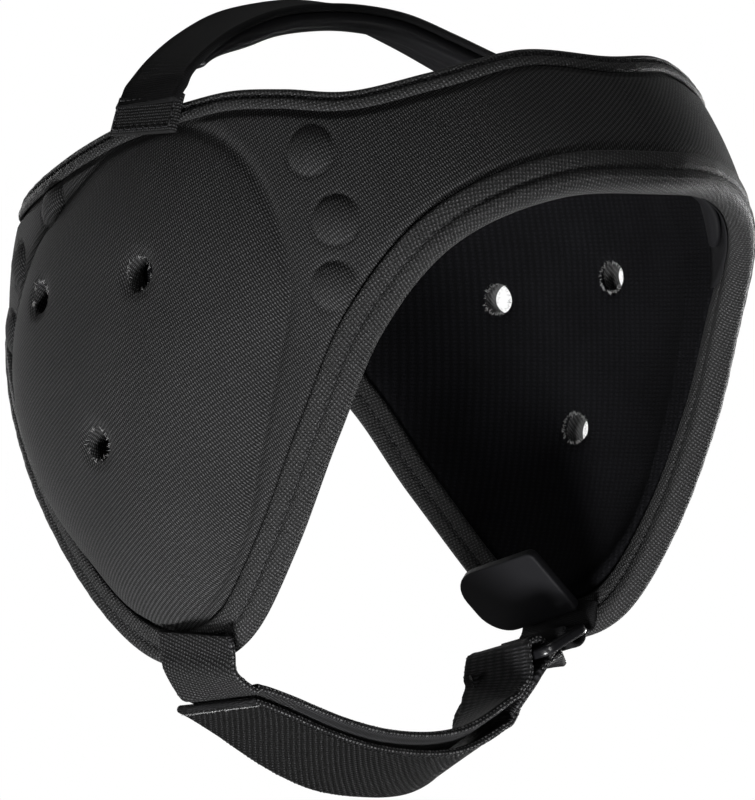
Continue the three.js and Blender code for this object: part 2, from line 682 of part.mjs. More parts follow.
function flapGeometry() {
  const corners = [FLAP_CORNER, FLAP_FRONT_CORNER];
  const shape = roundedOutline(new THREE.Shape(), FLAP_WIDTH, FLAP_LENGTH, ...corners);
  const lean = new THREE.Vector3(-Math.sin(rad(FLAP_LEAN)), 0, Math.cos(rad(FLAP_LEAN)));
  const wide = frontEdge(BUCKLE_TILT);
  const up = lean.addScaledVector(wide, -lean.dot(wide)).normalize();
  const away = up.clone().cross(wide);
  const distance = BAR_ROOM + TIE_WALL + FLAP_PLAY + FLAP_WALL / 2;
  const middle = UPPER_BAR.clone().addScaledVector(away, distance);
  middle.addScaledVector(up, FLAP_ROOT + FLAP_LENGTH / 2).addScaledVector(wide, BUCKLE_Y - FLAP_Y);
  return setPlate(plate(shape, FLAP_WALL), wide, up, middle);
}

// Finishes
function finish(color, roughness) {
  return new THREE.MeshStandardMaterial({ color, roughness, metalness: 0 });
}

const knit = finish(0x26272b, 0.85);
const pile = finish(0x17181b, 0.98);
const ribbedKnit = finish(0x2b2c30, 0.8);
const satin = finish(0x202124, 0.5);
const webbing = finish(0x242528, 0.8);
const plastic = finish(0x2e3035, 0.35);
const rubber = finish(0x2a2b2e, 0.65);

const guard = new THREE.Group();
guard.position.set(0, -CROWN_STRAP_Y, -CROWN_HEIGHT);

function add(name, geometry, material) {
  const mesh = new THREE.Mesh(geometry, material);
  mesh.name = name;
  guard.add(mesh);
}

add('guard_shell', shellGeometry(), knit);
add('inner_lining', liningGeometry(), pile);
add('top_binding', bindingGeometry('top'), ribbedKnit);
add('lower_binding', bindingGeometry('low'), ribbedKnit);
add('forehead_facing', foreheadLayer(FACING_COLUMNS, FACING_MARGIN, FACING_BACK, FACING_WALL), satin);
add('forehead_pad', foreheadLayer(PAD_COLUMNS, PAD_MARGIN, PAD_BACK, PAD_WALL), satin);
add('crown_strap', crownStrapGeometry(), webbing);
add('crown_strap_pad', crownPadGeometry(), satin);
add('crown_patch_right', patchGeometry(1), webbing);
add('crown_patch_left', patchGeometry(-1), webbing);
add('chin_strap', chinStrapGeometry(), webbing);
add('buckle_tie', buckleTieGeometry(), ribbedKnit);
add('buckle', buckleGeometry(), plastic);
add('chin_flap', flapGeometry(), rubber);

export default guard;
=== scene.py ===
# %% Wrestling ear guard, sewn and molded
# %% [markdown]
# The part is a wrestling ear guard: one molded ring of laminated foam with a domed cup over each
# ear, tape bound over both edges, a padded strap over the crown and a webbing strap under the chin.
# The real maker heats a sheet of foam between two fabrics, presses it over a head-shaped form, dies
# out the ring, punches the vents and then sews the tape and straps on. Each finished piece here
# follows that order: a molded surface first, then the sewn edges, then the thread.
# Every surface is worked out from the same named sizes as the frame part, in millimetres round the
# ears, and is moved into the frame only when its mesh is made, so that the two always agree.

# %% Frame
import math
import bmesh
import bpy
import numpy as np
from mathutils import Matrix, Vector


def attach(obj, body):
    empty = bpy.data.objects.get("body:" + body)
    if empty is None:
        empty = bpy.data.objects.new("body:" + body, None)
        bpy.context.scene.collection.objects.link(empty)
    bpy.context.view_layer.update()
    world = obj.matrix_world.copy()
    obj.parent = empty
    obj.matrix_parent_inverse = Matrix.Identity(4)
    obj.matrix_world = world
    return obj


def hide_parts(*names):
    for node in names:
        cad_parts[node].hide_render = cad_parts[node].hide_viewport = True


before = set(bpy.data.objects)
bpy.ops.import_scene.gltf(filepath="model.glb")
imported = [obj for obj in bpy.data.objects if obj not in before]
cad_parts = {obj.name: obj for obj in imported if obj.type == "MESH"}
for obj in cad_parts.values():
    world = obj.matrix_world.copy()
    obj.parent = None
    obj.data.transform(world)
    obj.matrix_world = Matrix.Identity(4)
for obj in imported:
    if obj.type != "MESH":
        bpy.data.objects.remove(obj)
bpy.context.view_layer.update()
print("frame nodes:", sorted(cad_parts))

# %% [markdown]
# Sizes, in millimetres. The ring's wall runs between two bound edges. Its plan is a rounded oval
# whose three reaches change with height, and every layer is an offset from the wall's middle.

# %% Named sizes
HALF_BREADTH, FRONT_REACH, REAR_REACH = 77.5, 95.5, 98.5
GUARD_HEIGHT, CROWN_HEIGHT, CROWN_STRAP_Y = 144, 68.5, 1.5
SHELL_OUT, SHELL_EDGE_OUT = 2.0, 1.0
CLEARANCE, LINING_WALL, BINDING_WALL = 0.3, 1.2, 1.2
TOP_BINDING_WIDTH, LOW_BINDING_WIDTH, EDGE_SLOPE = 5.5, 9.0, 2.2
BINDING_OUT = SHELL_EDGE_OUT + CLEARANCE
BINDING_FACE_OUT = BINDING_OUT + BINDING_WALL
BINDING_IN = SHELL_EDGE_OUT + 2 * CLEARANCE + LINING_WALL
BINDING_FACE_IN = BINDING_IN + BINDING_WALL
FOLD = CLEARANCE + BINDING_WALL
DOME_ANGLE, DOME_LEVEL, DOME_RISE, DOME_HOLLOW = 92, -12, 9.6, 6.1
DOME_FULLNESS, DOME_FLATNESS, DOME_SHOULDER = 0.22, 3, 0.85
HOLE_RADIUS, BUMP_RADIUS, BUMP_RISE = 4.0, 5.4, 1.75
STRAP_WALL, CROWN_STRAP_WIDTH, CHIN_STRAP_WIDTH = 1.8, 24.0, 25.0
CROWN_ROLL_WALL, PATCH_HEIGHT, PATCH_TILT, LAP_SHIFT = 4.6, 8.5, 11.0, 3.0
# where the thread sinks into each tape, and the reach at which flat coordinates are laid round the ring
LOW_GROOVE, TOP_GROOVE, GIRTH_RADIUS = 4.8, 2.7, 85
FRONT_ROUNDNESS, REAR_ROUNDNESS = 2.15, 2.2
EAR_FRAME = np.array([0, -CROWN_STRAP_Y, -CROWN_HEIGHT])
AMBIENT = 0.04
rng = np.random.default_rng(11)

# height, breadth, front reach, rear reach, as shares
FORM = np.array([
    (-0.694, 0.82, 0.8, 0.77), (-0.555, 0.857, 0.855, 0.84), (-0.416, 0.91, 0.9, 0.905),
    (-0.277, 0.955, 0.945, 0.96), (-0.138, 0.985, 0.98, 0.995), (0.001, 0.995, 0.997, 1),
    (0.14, 0.997, 0.992, 0.955), (0.279, 0.957, 0.906, 0.855), (0.418, 0.858, 0.764, 0.736),
    (0.557, 0.697, 0.586, 0.579)])
FORM_STEP = FORM[1, 0] - FORM[0, 0]
# upper edge's angle and height, lower edge's angle and height, from forehead to nape
EDGES = [
    (0, 0.421, 0, 0.201), (19, 0.426, 18, 0.19), (36, 0.388, 33.5, 0.118), (50, 0.358, 44.4, -0.021),
    (62, 0.363, 51.8, -0.194), (73, 0.363, 60, -0.375), (83, 0.349, 70.5, -0.517),
    (92, 0.332, 84, -0.574), (101, 0.312, 99, -0.566), (111, 0.283, 114, -0.486),
    (123, 0.246, 129, -0.333), (138, 0.207, 140, -0.174), (155, 0.188, 151, -0.042),
    (180, 0.181, 180, -0.021)]
DOME_OUTLINE = [0.38, 0.347, 0.329, 0.377, 0.395, 0.346, 0.283, 0.285, 0.36, 0.426, 0.375, 0.372]
HOLES = [(85.5, 0.07), (95, -0.2), (112.8, 0.031)]
BUMPS = [(56.1, 0.259), (51.5, 0.151), (51.6, 0.048), (117.9, 0.184), (131.5, 0.085), (136, -0.03)]
print("sizes named")

# %% [markdown]
# The form. A smooth curve goes through each table's rows, and a place on the wall is an angle from
# straight ahead and a height from the ears. Insets are walked along the wall from a bound edge, so
# a tape keeps its width where the edge turns.

# %% Form of the ring
def curve(rows, position, wrap=False):
    rows, position = np.asarray(rows, float), np.asarray(position, float)
    rows = rows[:, None] if rows.ndim == 1 else rows
    first = np.floor(position).astype(int)
    t = (position - first)[..., None]

    def at(index):
        if wrap:
            return rows[index % len(rows)]
        before = np.clip(-index, 0, None)[..., None] * (rows[0] - rows[1])
        after = np.clip(index - len(rows) + 1, 0, None)[..., None] * (rows[-1] - rows[-2])
        return rows[np.clip(index, 0, len(rows) - 1)] + before + after

    a, b, c, d = (at(first + k) for k in (-1, 0, 1, 2))
    return 0.5 * (2 * b + (c - a) * t + (2 * a - 5 * b + 4 * c - d) * t**2
                  + (3 * b - a - 3 * c + d) * t**3)


def unit(v):
    return v / np.linalg.norm(v, axis=-1, keepdims=True)


def dot(a, b):
    return (a * b).sum(-1, keepdims=True)


def wall(angle, height):
    shares = curve(FORM[:, 1:], (height / GUARD_HEIGHT - FORM[0, 0]) / FORM_STEP)
    turn = np.radians(angle)
    ahead = np.cos(turn) >= 0
    power = np.where(ahead, FRONT_ROUNDNESS, REAR_ROUNDNESS)
    length = np.where(ahead, shares[..., 1] * FRONT_REACH, shares[..., 2] * REAR_REACH)
    reach = (np.abs(np.sin(turn) / (shares[..., 0] * HALF_BREADTH)) ** power
             + np.abs(np.cos(turn) / length) ** power) ** (-1 / power)
    return np.stack([-reach * np.sin(turn), -reach * np.cos(turn), height + 0 * turn], -1)


def slopes(angle, height, step=0.05):
    around = (wall(angle + step, height) - wall(angle - step, height)) / (2 * step)
    up = (wall(angle, height + step) - wall(angle, height - step)) / (2 * step)
    outward = unit(np.cross(around, up))
    flat = wall(angle, height) * (1, 1, 0)
    return around, up, np.where(dot(outward, flat) < 0, -outward, outward)


def offset(place, out):
    return wall(*place) + slopes(*place)[2] * np.asarray(out)[..., None]


HALF_ROWS = len(EDGES) - 1
RING_ROWS = []
for index in range(-4, 2 * HALF_ROWS + 5):
    wrapped, turns = index % (2 * HALF_ROWS), 360 * (index // (2 * HALF_ROWS))
    row = EDGES[wrapped if wrapped <= HALF_ROWS else 2 * HALF_ROWS - wrapped]
    mirror = wrapped > HALF_ROWS
    RING_ROWS.append([turns + (360 - v if mirror else v) if k % 2 == 0 else v
                      for k, v in enumerate(row)])


def edge_place(edge, column):
    row = curve(RING_ROWS, np.asarray(column, float) + 4)
    k = 0 if edge == "top" else 2
    return row[..., k], row[..., k + 1] * GUARD_HEIGHT


def inset(edge, column, distance):
    angle, height = edge_place(edge, column)
    around, up, outward = slopes(angle, height)
    along = wall(*edge_place(edge, column + 0.05)) - wall(*edge_place(edge, column - 0.05))
    inward = unit(np.cross(outward, along)) * (-1 if edge == "low" else 1)
    rr, ru, uu = (dot(around, around)[..., 0], dot(around, up)[..., 0], dot(up, up)[..., 0])
    r, u = dot(inward, around)[..., 0], dot(inward, up)[..., 0]
    scale = distance / (rr * uu - ru * ru)
    return angle + scale * (r * uu - u * ru), height + scale * (u * rr - r * ru)


print("ring rows:", len(RING_ROWS))

# %% [markdown]
# Meshes. A skin is a grid of points with its own flat coordinates in millimetres, so that weaves
# keep their real pitch on every piece. Coordinates run along the piece and then across it.

# %% Meshes from grids
def to_frame(points):
    return (np.asarray(points, float) + EAR_FRAME) / 1000


def build(name, points, faces, uv, material):
    mesh = bpy.data.meshes.new(name)
    mesh.from_pydata(to_frame(points).tolist(), [], faces)
    layer = mesh.uv_layers.new(name="mm")
    layer.data.foreach_set("uv", np.asarray(uv, float).ravel())
    obj = bpy.data.objects.new(name, mesh)
    bpy.context.scene.collection.objects.link(obj)
    work = bmesh.new()
    work.from_mesh(mesh)
    if work.calc_volume(signed=True) < 0:
        bmesh.ops.reverse_faces(work, faces=work.faces)
    work.to_mesh(mesh)
    work.free()
    mesh.polygons.foreach_set("use_smooth", [True] * len(mesh.polygons))
    for item in (material if isinstance(material, (list, tuple)) else [material]):
        mesh.materials.append(item)
    return obj


def lengths(points, axis):
    step = np.linalg.norm(np.diff(points, axis=axis), axis=-1)
    return np.concatenate([np.zeros_like(np.take(step, [0], axis)), np.cumsum(step, axis)], axis)


def skin(name, grid, material, ring=False, uv=None, slots=None):
    n, m = grid.shape[:2]
    full = np.concatenate([grid, grid[:1]], 0) if ring else grid
    full = np.concatenate([full, full[:, :1]], 1)
    if uv is None:
        uv = np.stack([np.broadcast_to(lengths(full, 0).mean(1, keepdims=True), full.shape[:2]),
                       lengths(full, 1)], -1)
    i, j = np.meshgrid(np.arange(full.shape[0] - 1), np.arange(full.shape[1] - 1), indexing="ij")
    i, j = i.ravel(), j.ravel()
    corner = lambda a, b: (a % n) * m + b % m
    quads = np.stack([corner(i, j), corner(i + 1, j), corner(i + 1, j + 1), corner(i, j + 1)], 1)
    flat = np.stack([uv[i, j], uv[i + 1, j], uv[i + 1, j + 1], uv[i, j + 1]], 1).reshape(-1, 2)
    faces = quads.tolist()
    if not ring:
        faces.append(list(range(m)))
        faces.append([(n - 1) * m + k for k in range(m)][::-1])
        flat = np.concatenate([flat, uv[0, :m], uv[-1, :m][::-1]])
    obj = build(name, grid.reshape(-1, 3), faces, flat, material)
    if slots is not None:
        index = slots(i, j).astype(int).tolist() + [0] * (len(faces) - len(i))
        obj.data.polygons.foreach_set("material_index", index)
    return obj


def arc(centre, radius, start, end, steps):
    turn = np.radians(np.linspace(start, end, steps + 1))
    return [(centre[0] + radius * math.cos(t), centre[1] + radius * math.sin(t)) for t in turn]


print("mesh tools ready")

# %% [markdown]
# Cloth finishes. All the fabrics are black, so what tells them apart is how each catches light: the
# knit face has a fine slanting grain, the tape has ribs, the pile drinks light and webbing shows
# rows. One relief group draws every weave from its pitches and slant and paints shade into its
# hollows and highlight onto its loop tops, and one dust group adds the uneven bloom that black
# cloth has under a soft lamp.

# %% Finishes
def group(name, inputs, outputs):
    tree = bpy.data.node_groups.new(name, "ShaderNodeTree")
    for label, kind, value in inputs:
        socket = tree.interface.new_socket(label, in_out="INPUT", socket_type=kind)
        if value is not None:
            socket.default_value = value
    for label, kind in outputs:
        tree.interface.new_socket(label, in_out="OUTPUT", socket_type=kind)
    return tree, tree.nodes.new("NodeGroupInput"), tree.nodes.new("NodeGroupOutput")


def feed(tree, socket, value):
    if isinstance(value, (int, float)):
        socket.default_value = value
    elif value is not None:
        tree.links.new(value, socket)


def maths(tree, operation, a, b=None, c=None):
    node = tree.nodes.new("ShaderNodeMath")
    node.operation = operation
    for socket, value in zip(node.inputs, (a, b, c)):
        feed(tree, socket, value)
    return node.outputs[0]


def noise(tree, place, **values):
    node = tree.nodes.new("ShaderNodeTexNoise")
    tree.links.new(place, node.inputs["Vector"])
    for label, value in values.items():
        feed(tree, node.inputs[label], value)
    return node.outputs["Fac"]


def blank_material(name):
    material = bpy.data.materials.new(name)
    material.use_nodes = True
    return material, material.node_tree, material.node_tree.nodes["Principled BSDF"]


def set_values(node, **values):
    for label, value in values.items():
        node.inputs[label.replace("_", " ")].default_value = value


def relief_group():
    tree, source, sink = group("Weave relief and painted shade", [
        ("Place", "NodeSocketVector", None), ("Pitch", "NodeSocketFloat", 0.6),
        ("Row pitch", "NodeSocketFloat", 0.9), ("Slant", "NodeSocketFloat", 0.0),
        ("Fuzz", "NodeSocketFloat", 0.2), ("Gather", "NodeSocketFloat", 1.0)],
        [("Height", "NodeSocketFloat"), ("Painted relief shade", "NodeSocketFloat")])
    place = source.outputs["Place"]
    split = tree.nodes.new("ShaderNodeSeparateXYZ")
    tree.links.new(place, split.inputs[0])
    drift = maths(tree, "MULTIPLY", noise(tree, place, Scale=0.9, Detail=2), 0.35)
    x = maths(tree, "ADD", split.outputs[0], drift)
    across = maths(tree, "MULTIPLY_ADD", split.outputs[1], source.outputs["Slant"], x)
    turn = maths(tree, "MULTIPLY", x, source.outputs["Slant"])
    along = maths(tree, "SUBTRACT", split.outputs[1], turn)
    rib = maths(tree, "COSINE", maths(tree, "DIVIDE", maths(tree, "MULTIPLY", across, math.tau),
                                      source.outputs["Pitch"]))
    row = maths(tree, "COSINE", maths(tree, "DIVIDE", maths(tree, "MULTIPLY", along, math.tau),
                                      source.outputs["Row pitch"]))
    loops = maths(tree, "MULTIPLY_ADD", rib, 0.5, 0.5)
    beads = maths(tree, "MULTIPLY", loops, maths(tree, "MULTIPLY_ADD", row, 0.35, 0.65))
    fuzz = noise(tree, place, Scale=2.6, Detail=5, Roughness=0.7)
    rough = maths(tree, "MULTIPLY", maths(tree, "SUBTRACT", fuzz, 0.5), source.outputs["Fuzz"])
    height = maths(tree, "MULTIPLY_ADD", rough, 2.0, beads)
    tree.links.new(height, sink.inputs["Height"])
    # second output, painted shade and highlight: the weave's hollows are painted darker and its loop tops
    # lighter, following the relief height, and Gather sharpens the painted highlights into glints
    lit = maths(tree, "MAXIMUM", maths(tree, "MULTIPLY_ADD", rough, 3.0, beads), 0.0)
    lit = maths(tree, "POWER", lit, source.outputs["Gather"])
    tree.links.new(lit, sink.inputs["Painted relief shade"])
    return tree


def bloom_group():
    tree, source, sink = group("Dust bloom", [
        ("Place", "NodeSocketVector", None), ("Size", "NodeSocketFloat", 0.05),
        ("Amount", "NodeSocketFloat", 0.3)], [("Gain", "NodeSocketFloat")])
    cloud = noise(tree, source.outputs["Place"], Scale=source.outputs["Size"], Detail=4)
    swing = maths(tree, "MULTIPLY", maths(tree, "SUBTRACT", cloud, 0.5), source.outputs["Amount"])
    tree.links.new(maths(tree, "MULTIPLY_ADD", swing, 2.0, 1.0), sink.inputs["Gain"])
    return tree


RELIEF, BLOOM = relief_group(), bloom_group()


def fabric(name, colour, pitch, row_pitch, slant=0.0, fuzz=0.2, depth=0.1, roughness=0.85,
           sheen=0.0, painted_shade_share=0.5, bloom=0.25, specular=0.2, gather=1.0):
    material, tree, shader = blank_material(name)
    place = tree.nodes.new("ShaderNodeUVMap")
    place.uv_map = "mm"
    weave = tree.nodes.new("ShaderNodeGroup")
    weave.node_tree = RELIEF
    set_values(weave, Pitch=pitch, Row_pitch=row_pitch, Slant=slant, Fuzz=fuzz, Gather=gather)
    dust = tree.nodes.new("ShaderNodeGroup")
    dust.node_tree = BLOOM
    dust.inputs["Amount"].default_value = bloom
    tree.links.new(place.outputs[0], weave.inputs["Place"])
    tree.links.new(place.outputs[0], dust.inputs["Place"])
    # base colour scaled by the dust bloom and by the weave's painted shade and highlight, weighted by the
    # painted shade share
    gain = maths(tree, "MULTIPLY", dust.outputs["Gain"],
                 maths(tree, "MULTIPLY_ADD", weave.outputs["Painted relief shade"], 2 * painted_shade_share, 1 - painted_shade_share))
    tint = tree.nodes.new("ShaderNodeVectorMath")
    tint.operation = "SCALE"
    tint.inputs[0].default_value = colour
    tree.links.new(gain, tint.inputs["Scale"])
    tree.links.new(tint.outputs[0], shader.inputs["Base Color"])
    bump = tree.nodes.new("ShaderNodeBump")
    set_values(bump, Strength=0.8, Distance=depth / 1000)
    tree.links.new(weave.outputs["Height"], bump.inputs["Height"])
    tree.links.new(bump.outputs[0], shader.inputs["Normal"])
    set_values(shader, Roughness=roughness, Specular_IOR_Level=specular, Sheen_Weight=sheen,
               Sheen_Roughness=0.45)
    return material


def molded(name, colour, roughness, grain, size, specular=0.3):
    material, tree, shader = blank_material(name)
    place = tree.nodes.new("ShaderNodeTexCoord")
    specks = noise(tree, place.outputs["Object"], Scale=size, Detail=4)
    bump = tree.nodes.new("ShaderNodeBump")
    set_values(bump, Distance=grain / 1000)
    tree.links.new(specks, bump.inputs["Height"])
    tree.links.new(bump.outputs[0], shader.inputs["Normal"])
    spread = maths(tree, "MULTIPLY_ADD", specks, 0.2, roughness - 0.1)
    tree.links.new(spread, shader.inputs["Roughness"])
    set_values(shader, Base_Color=(*colour, 1), Specular_IOR_Level=specular)
    return material


# each finish below paints shade into its weave's hollows and highlight onto its loop tops, by the share
# given with its weave
KNIT = fabric("Knit face", (0.036, 0.036, 0.037), 0.68, 1.1, slant=-0.62, fuzz=0.35, depth=0.25,
              painted_shade_share=0.97, gather=1.6, sheen=0.02)
PILE = fabric("Pile lining", (0.006, 0.006, 0.007), 2.2, 1.1, fuzz=1.4, depth=0.3, roughness=1,
              painted_shade_share=0.4, bloom=0.5, specular=0.05)
TAPE = fabric("Bound tape", (0.034, 0.034, 0.035), 0.9, 1.0, slant=-0.35, fuzz=1.0, depth=0.35,
              painted_shade_share=0.98, roughness=0.65, specular=0.35, gather=2.0)
SATIN = fabric("Satin cover", (0.005, 0.005, 0.006), 0.35, 2.0, fuzz=0.12, depth=0.04, roughness=0.45,
               painted_shade_share=0.2, specular=0.35)
WEBBING = fabric("Webbing", (0.0055, 0.0055, 0.006), 0.5, 0.55, slant=0.2, fuzz=0.4, depth=0.12,
                 painted_shade_share=0.6, specular=0.12)
PATCH = fabric("Patch webbing", (0.028, 0.028, 0.029), 0.75, 0.85, fuzz=0.8, depth=0.3, painted_shade_share=0.97,
               gather=1.8)
RIBBED = fabric("Ribbed webbing", (0.013, 0.013, 0.014), 0.85, 3.2, fuzz=0.5, depth=0.3, painted_shade_share=0.95)
NET = fabric("Looped net", (0.02, 0.02, 0.021), 1.7, 1.7, slant=0.8, fuzz=0.35, depth=0.8, roughness=0.5,
             painted_shade_share=0.995, specular=0.1, gather=5.0)
FUZZY = fabric("Brushed knit", (0.034, 0.034, 0.035), 1.0, 1.0, slant=0.3, fuzz=0.9, depth=0.5, painted_shade_share=0.97,
               gather=2.0)
THREAD = molded("Sewing thread", (0.01, 0.01, 0.011), 0.5, 0.03, 3000)
PLASTIC = molded("Buckle plastic", (0.006, 0.006, 0.007), 0.3, 0.02, 900, specular=0.5)
RUBBER = molded("Molded flap", (0.006, 0.006, 0.007), 0.6, 0.02, 1500, specular=0.1)
LINT = molded("Frayed fibre", (0.3, 0.3, 0.3), 0.7, 0.01, 3000)
# edge yarn: real picks along the webbing's edges, coloured lighter than any cloth here as a painted
# highlight for the glints along those edges
EDGE_YARN_PAINTED_GLINT = molded("Edge yarn with painted glint", (0.07, 0.07, 0.071), 0.5, 0.02, 3000)
print("finishes:", len(bpy.data.materials))

# %% [markdown]
# The molded shell. Foam pressed over a form has a soft shoulder where the cup leaves the wall. Its
# upper front is rounder, like part of a ball, and meets the wall at a crisp crease. Round bumps
# before and behind the cup come from the same mold. The surface is one grid of offsets, so dome,
# bumps, sunk vent rims and the slack of laminated cloth all add up in one place.

# %% Shell surface
def near_side(angle):
    turned = angle % 360
    return np.where(turned > 180, 360 - turned, turned)


def dome(angle, height):
    across = np.radians(near_side(angle) - DOME_ANGLE) * HALF_BREADTH
    up = height - DOME_LEVEL
    bearing = (np.arctan2(up, across) / (2 * np.pi)) % 1
    outline = curve(DOME_OUTLINE, bearing * 12, wrap=True)[..., 0]
    reach = np.hypot(across, up) / (outline * GUARD_HEIGHT)
    fuller = 1 - (DOME_FULLNESS + 0.16 * (up > 0)) * up / (DOME_OUTLINE[3] * GUARD_HEIGHT)
    crisp = np.exp(-((bearing - 0.3) / 0.15) ** 2)
    flatness = DOME_FLATNESS - 0.9 * crisp
    rise = np.clip(1 - np.clip(reach, 0, 1) ** flatness, 0, 1) ** (DOME_SHOULDER + 0.12 * crisp)
    return fuller * rise, reach, crisp


def marks(angle, height, spots):
    distance = np.full(np.shape(angle), 1e3)
    for spot, level in spots:
        across = np.radians(near_side(angle) - spot) * np.linalg.norm(
            wall(np.array(spot), np.array(level * GUARD_HEIGHT))[:2])
        distance = np.minimum(distance, np.hypot(across, height - level * GUARD_HEIGHT))
    return distance


def vent_rim(angle, height, width):
    """How far a place has sunk towards a vent, over a width outside its rim"""
    outside = np.clip(marks(angle, height, HOLES) - HOLE_RADIUS, 0, 9)
    return np.exp(-(outside / width) ** 2)


SLACK = [(rng.uniform(0.02, 0.09), rng.uniform(0.02, 0.07), rng.uniform(0, 6.28), rng.normal())
         for _ in range(14)]


def slack(angle, height):
    across = np.radians(angle) * GIRTH_RADIUS
    return sum(g * np.sin(a * across + b * height + c + 2 * np.sin(b * across - a * height))
               for a, b, c, g in SLACK) / 3.7


def outer_offset(angle, height):
    rise, reach, crisp = dome(angle, height)
    out = SHELL_OUT + DOME_RISE * rise
    seam = np.exp(-((reach - 1.02) / 0.025) ** 2)
    out = out - seam * (0.7 + 0.1 * crisp)
    from_bump = marks(angle, height, BUMPS)
    cap = np.clip(1 - (from_bump / BUMP_RADIUS) ** 2, 0, 1) ** 0.85
    crease = np.exp(-((from_bump - BUMP_RADIUS - 0.3) / 0.6) ** 2)
    out = out + BUMP_RISE * cap - 0.3 * crease
    return out - 0.8 * vent_rim(angle, height, 1.3) + 0.16 * slack(angle, height)


def inner_offset(angle, height):
    rise = dome(angle, height)[0]
    return (-SHELL_OUT + DOME_HOLLOW * rise + 0.5 * vent_rim(angle, height, 1.3)
            + 0.2 * slack(angle + 40, height))


def ring_columns(count):
    spread = np.linspace(0, 2 * HALF_ROWS, 2000)
    folded = np.minimum(spread, 2 * HALF_ROWS - spread)
    weight = 1 + 1.3 * np.exp(-((folded - 3.2) / 0.9) ** 2) + np.exp(-((folded - 10.2) / 1.3) ** 2)
    total = np.concatenate([[0], np.cumsum((weight[1:] + weight[:-1]) / 2)])
    return np.interp(np.linspace(0, total[-1], count + 1)[:-1], total, spread)


def ring_rows(columns, body):
    """Places up the wall from the lower edge to the upper one, and how far each is out of its tape"""
    low_edge = [(FOLD, 0), (LOW_BINDING_WIDTH + CLEARANCE, 0)]
    top_edge = [(FOLD, 0), (TOP_BINDING_WIDTH + CLEARANCE, 0)]
    for k in (0.25, 0.5, 0.75, 1):
        for rows, width in ((low_edge, LOW_BINDING_WIDTH), (top_edge, TOP_BINDING_WIDTH)):
            rows.append((width + CLEARANCE + k * EDGE_SLOPE, k * k * (3 - 2 * k)))
    low = [(*inset("low", columns, d), full) for d, full in low_edge]
    top = [(*inset("top", columns, d), full) for d, full in top_edge][::-1]
    share = np.linspace(0, 1, body + 2)[1:-1]
    share = share + 0.12 * np.sin(2 * np.pi * share) / (2 * np.pi)
    middle = [(low[-1][0] + (top[0][0] - low[-1][0]) * s, low[-1][1] + (top[0][1] - low[-1][1]) * s, 1)
              for s in share]
    rows = low + middle + top
    angle = np.stack([r[0] for r in rows], 1)
    height = np.stack([r[1] for r in rows], 1)
    full = np.broadcast_to(np.array([r[2] for r in rows], float), angle.shape)
    return angle, height, full


MERIDIAN = np.linspace(-110, 90, 401)
CLIMB = lengths(wall(np.full(401, 80.0), MERIDIAN)[None], 1)[0]


def wall_uv(angle, height):
    return np.stack([np.radians(angle) * GIRTH_RADIUS, np.interp(height, MERIDIAN, CLIMB)], -1)


def ring_layer(name, material, columns, body_out, out, body_in, inner, edge_out, edge_in):
    angle, height, full = ring_rows(columns, body_out)
    outer = offset((angle, height), edge_out + (out(angle, height) - edge_out) * full)
    angle_in, height_in, full_in = ring_rows(columns, body_in)
    inside = offset((angle_in, height_in), edge_in + (inner(angle_in, height_in) - edge_in) * full_in)
    grid = np.concatenate([inside[:, ::-1], outer], 1)
    places = np.concatenate([wall_uv(angle_in, height_in)[:, ::-1], wall_uv(angle, height)], 1)
    places = np.concatenate([places, places[:1] + (math.tau * GIRTH_RADIUS, 0)], 0)
    places = np.concatenate([places, places[:, :1]], 1)
    return skin(name, grid, material, ring=True, uv=places)


def vent_frames():
    """Each vent's angle, place, middle and outward side, and two directions across it"""
    for side in (1, -1):
        for spot, level in HOLES:
            place = (np.array(spot * 1.0 if side > 0 else 360.0 - spot), np.array(level * GUARD_HEIGHT))
            out = slopes(*place)[2]
            across = unit(np.cross(out, (0, 0, 1)))
            yield spot, place, wall(*place), out, across, np.cross(out, across)


def applied(piece, modifier):
    """The piece's mesh with its modifier applied and removed"""
    mesh = bpy.data.meshes.new_from_object(
        piece.evaluated_get(bpy.context.evaluated_depsgraph_get()))
    piece.modifiers.remove(modifier)
    piece.data = mesh
    return mesh


def punch_vents(piece):
    for spot, _, middle, out, a, b in vent_frames():
        turn = np.linspace(0, math.tau, 41)[:-1]
        edge = HOLE_RADIUS * (1 + 0.03 * np.sin(3 * turn + spot))
        rim = a * (np.cos(turn) * edge)[:, None] + b * (np.sin(turn) * edge)[:, None]
        drill = skin("drill", np.stack([middle + rim + out * k for k in (-25, 25)]), PILE)
        cut = piece.modifiers.new("vent", "BOOLEAN")
        cut.operation, cut.solver, cut.object = "DIFFERENCE", "EXACT", drill
        applied(piece, cut)
        bpy.data.objects.remove(drill)


COLUMNS = ring_columns(620)
shell = ring_layer("molded_shell", KNIT, COLUMNS, 104, outer_offset,
                   22, inner_offset, SHELL_EDGE_OUT, -SHELL_EDGE_OUT)
punch_vents(shell)
print("shell faces:", len(shell.data.polygons))

# %% [markdown]
# The lining is a short pile laminated to the foam before molding, so it lies on every hollow of the
# shell. It's built as its own skin a hair inside the shell, with the same vents punched through.

# %% Lining
def lining_back(angle, height):
    return inner_offset(angle, height) - CLEARANCE


def lining_face(angle, height):
    return lining_back(angle, height) - LINING_WALL + 0.3 * vent_rim(angle, height, 0.9)


LINING_COLUMNS = ring_columns(400)
lining = ring_layer("pile_lining", PILE, LINING_COLUMNS, 20, lining_back, 60, lining_face,
                    -SHELL_EDGE_OUT - CLEARANCE, -SHELL_EDGE_OUT - CLEARANCE - LINING_WALL)
punch_vents(lining)
print("lining faces:", len(lining.data.polygons))

# %% [markdown]
# The tapes. Each is a knit tape folded over the edge and sewn through all layers. The thread pulls a
# groove into the cloth, which leaves two soft bands, and the fold rounds over the foam's cut edge.

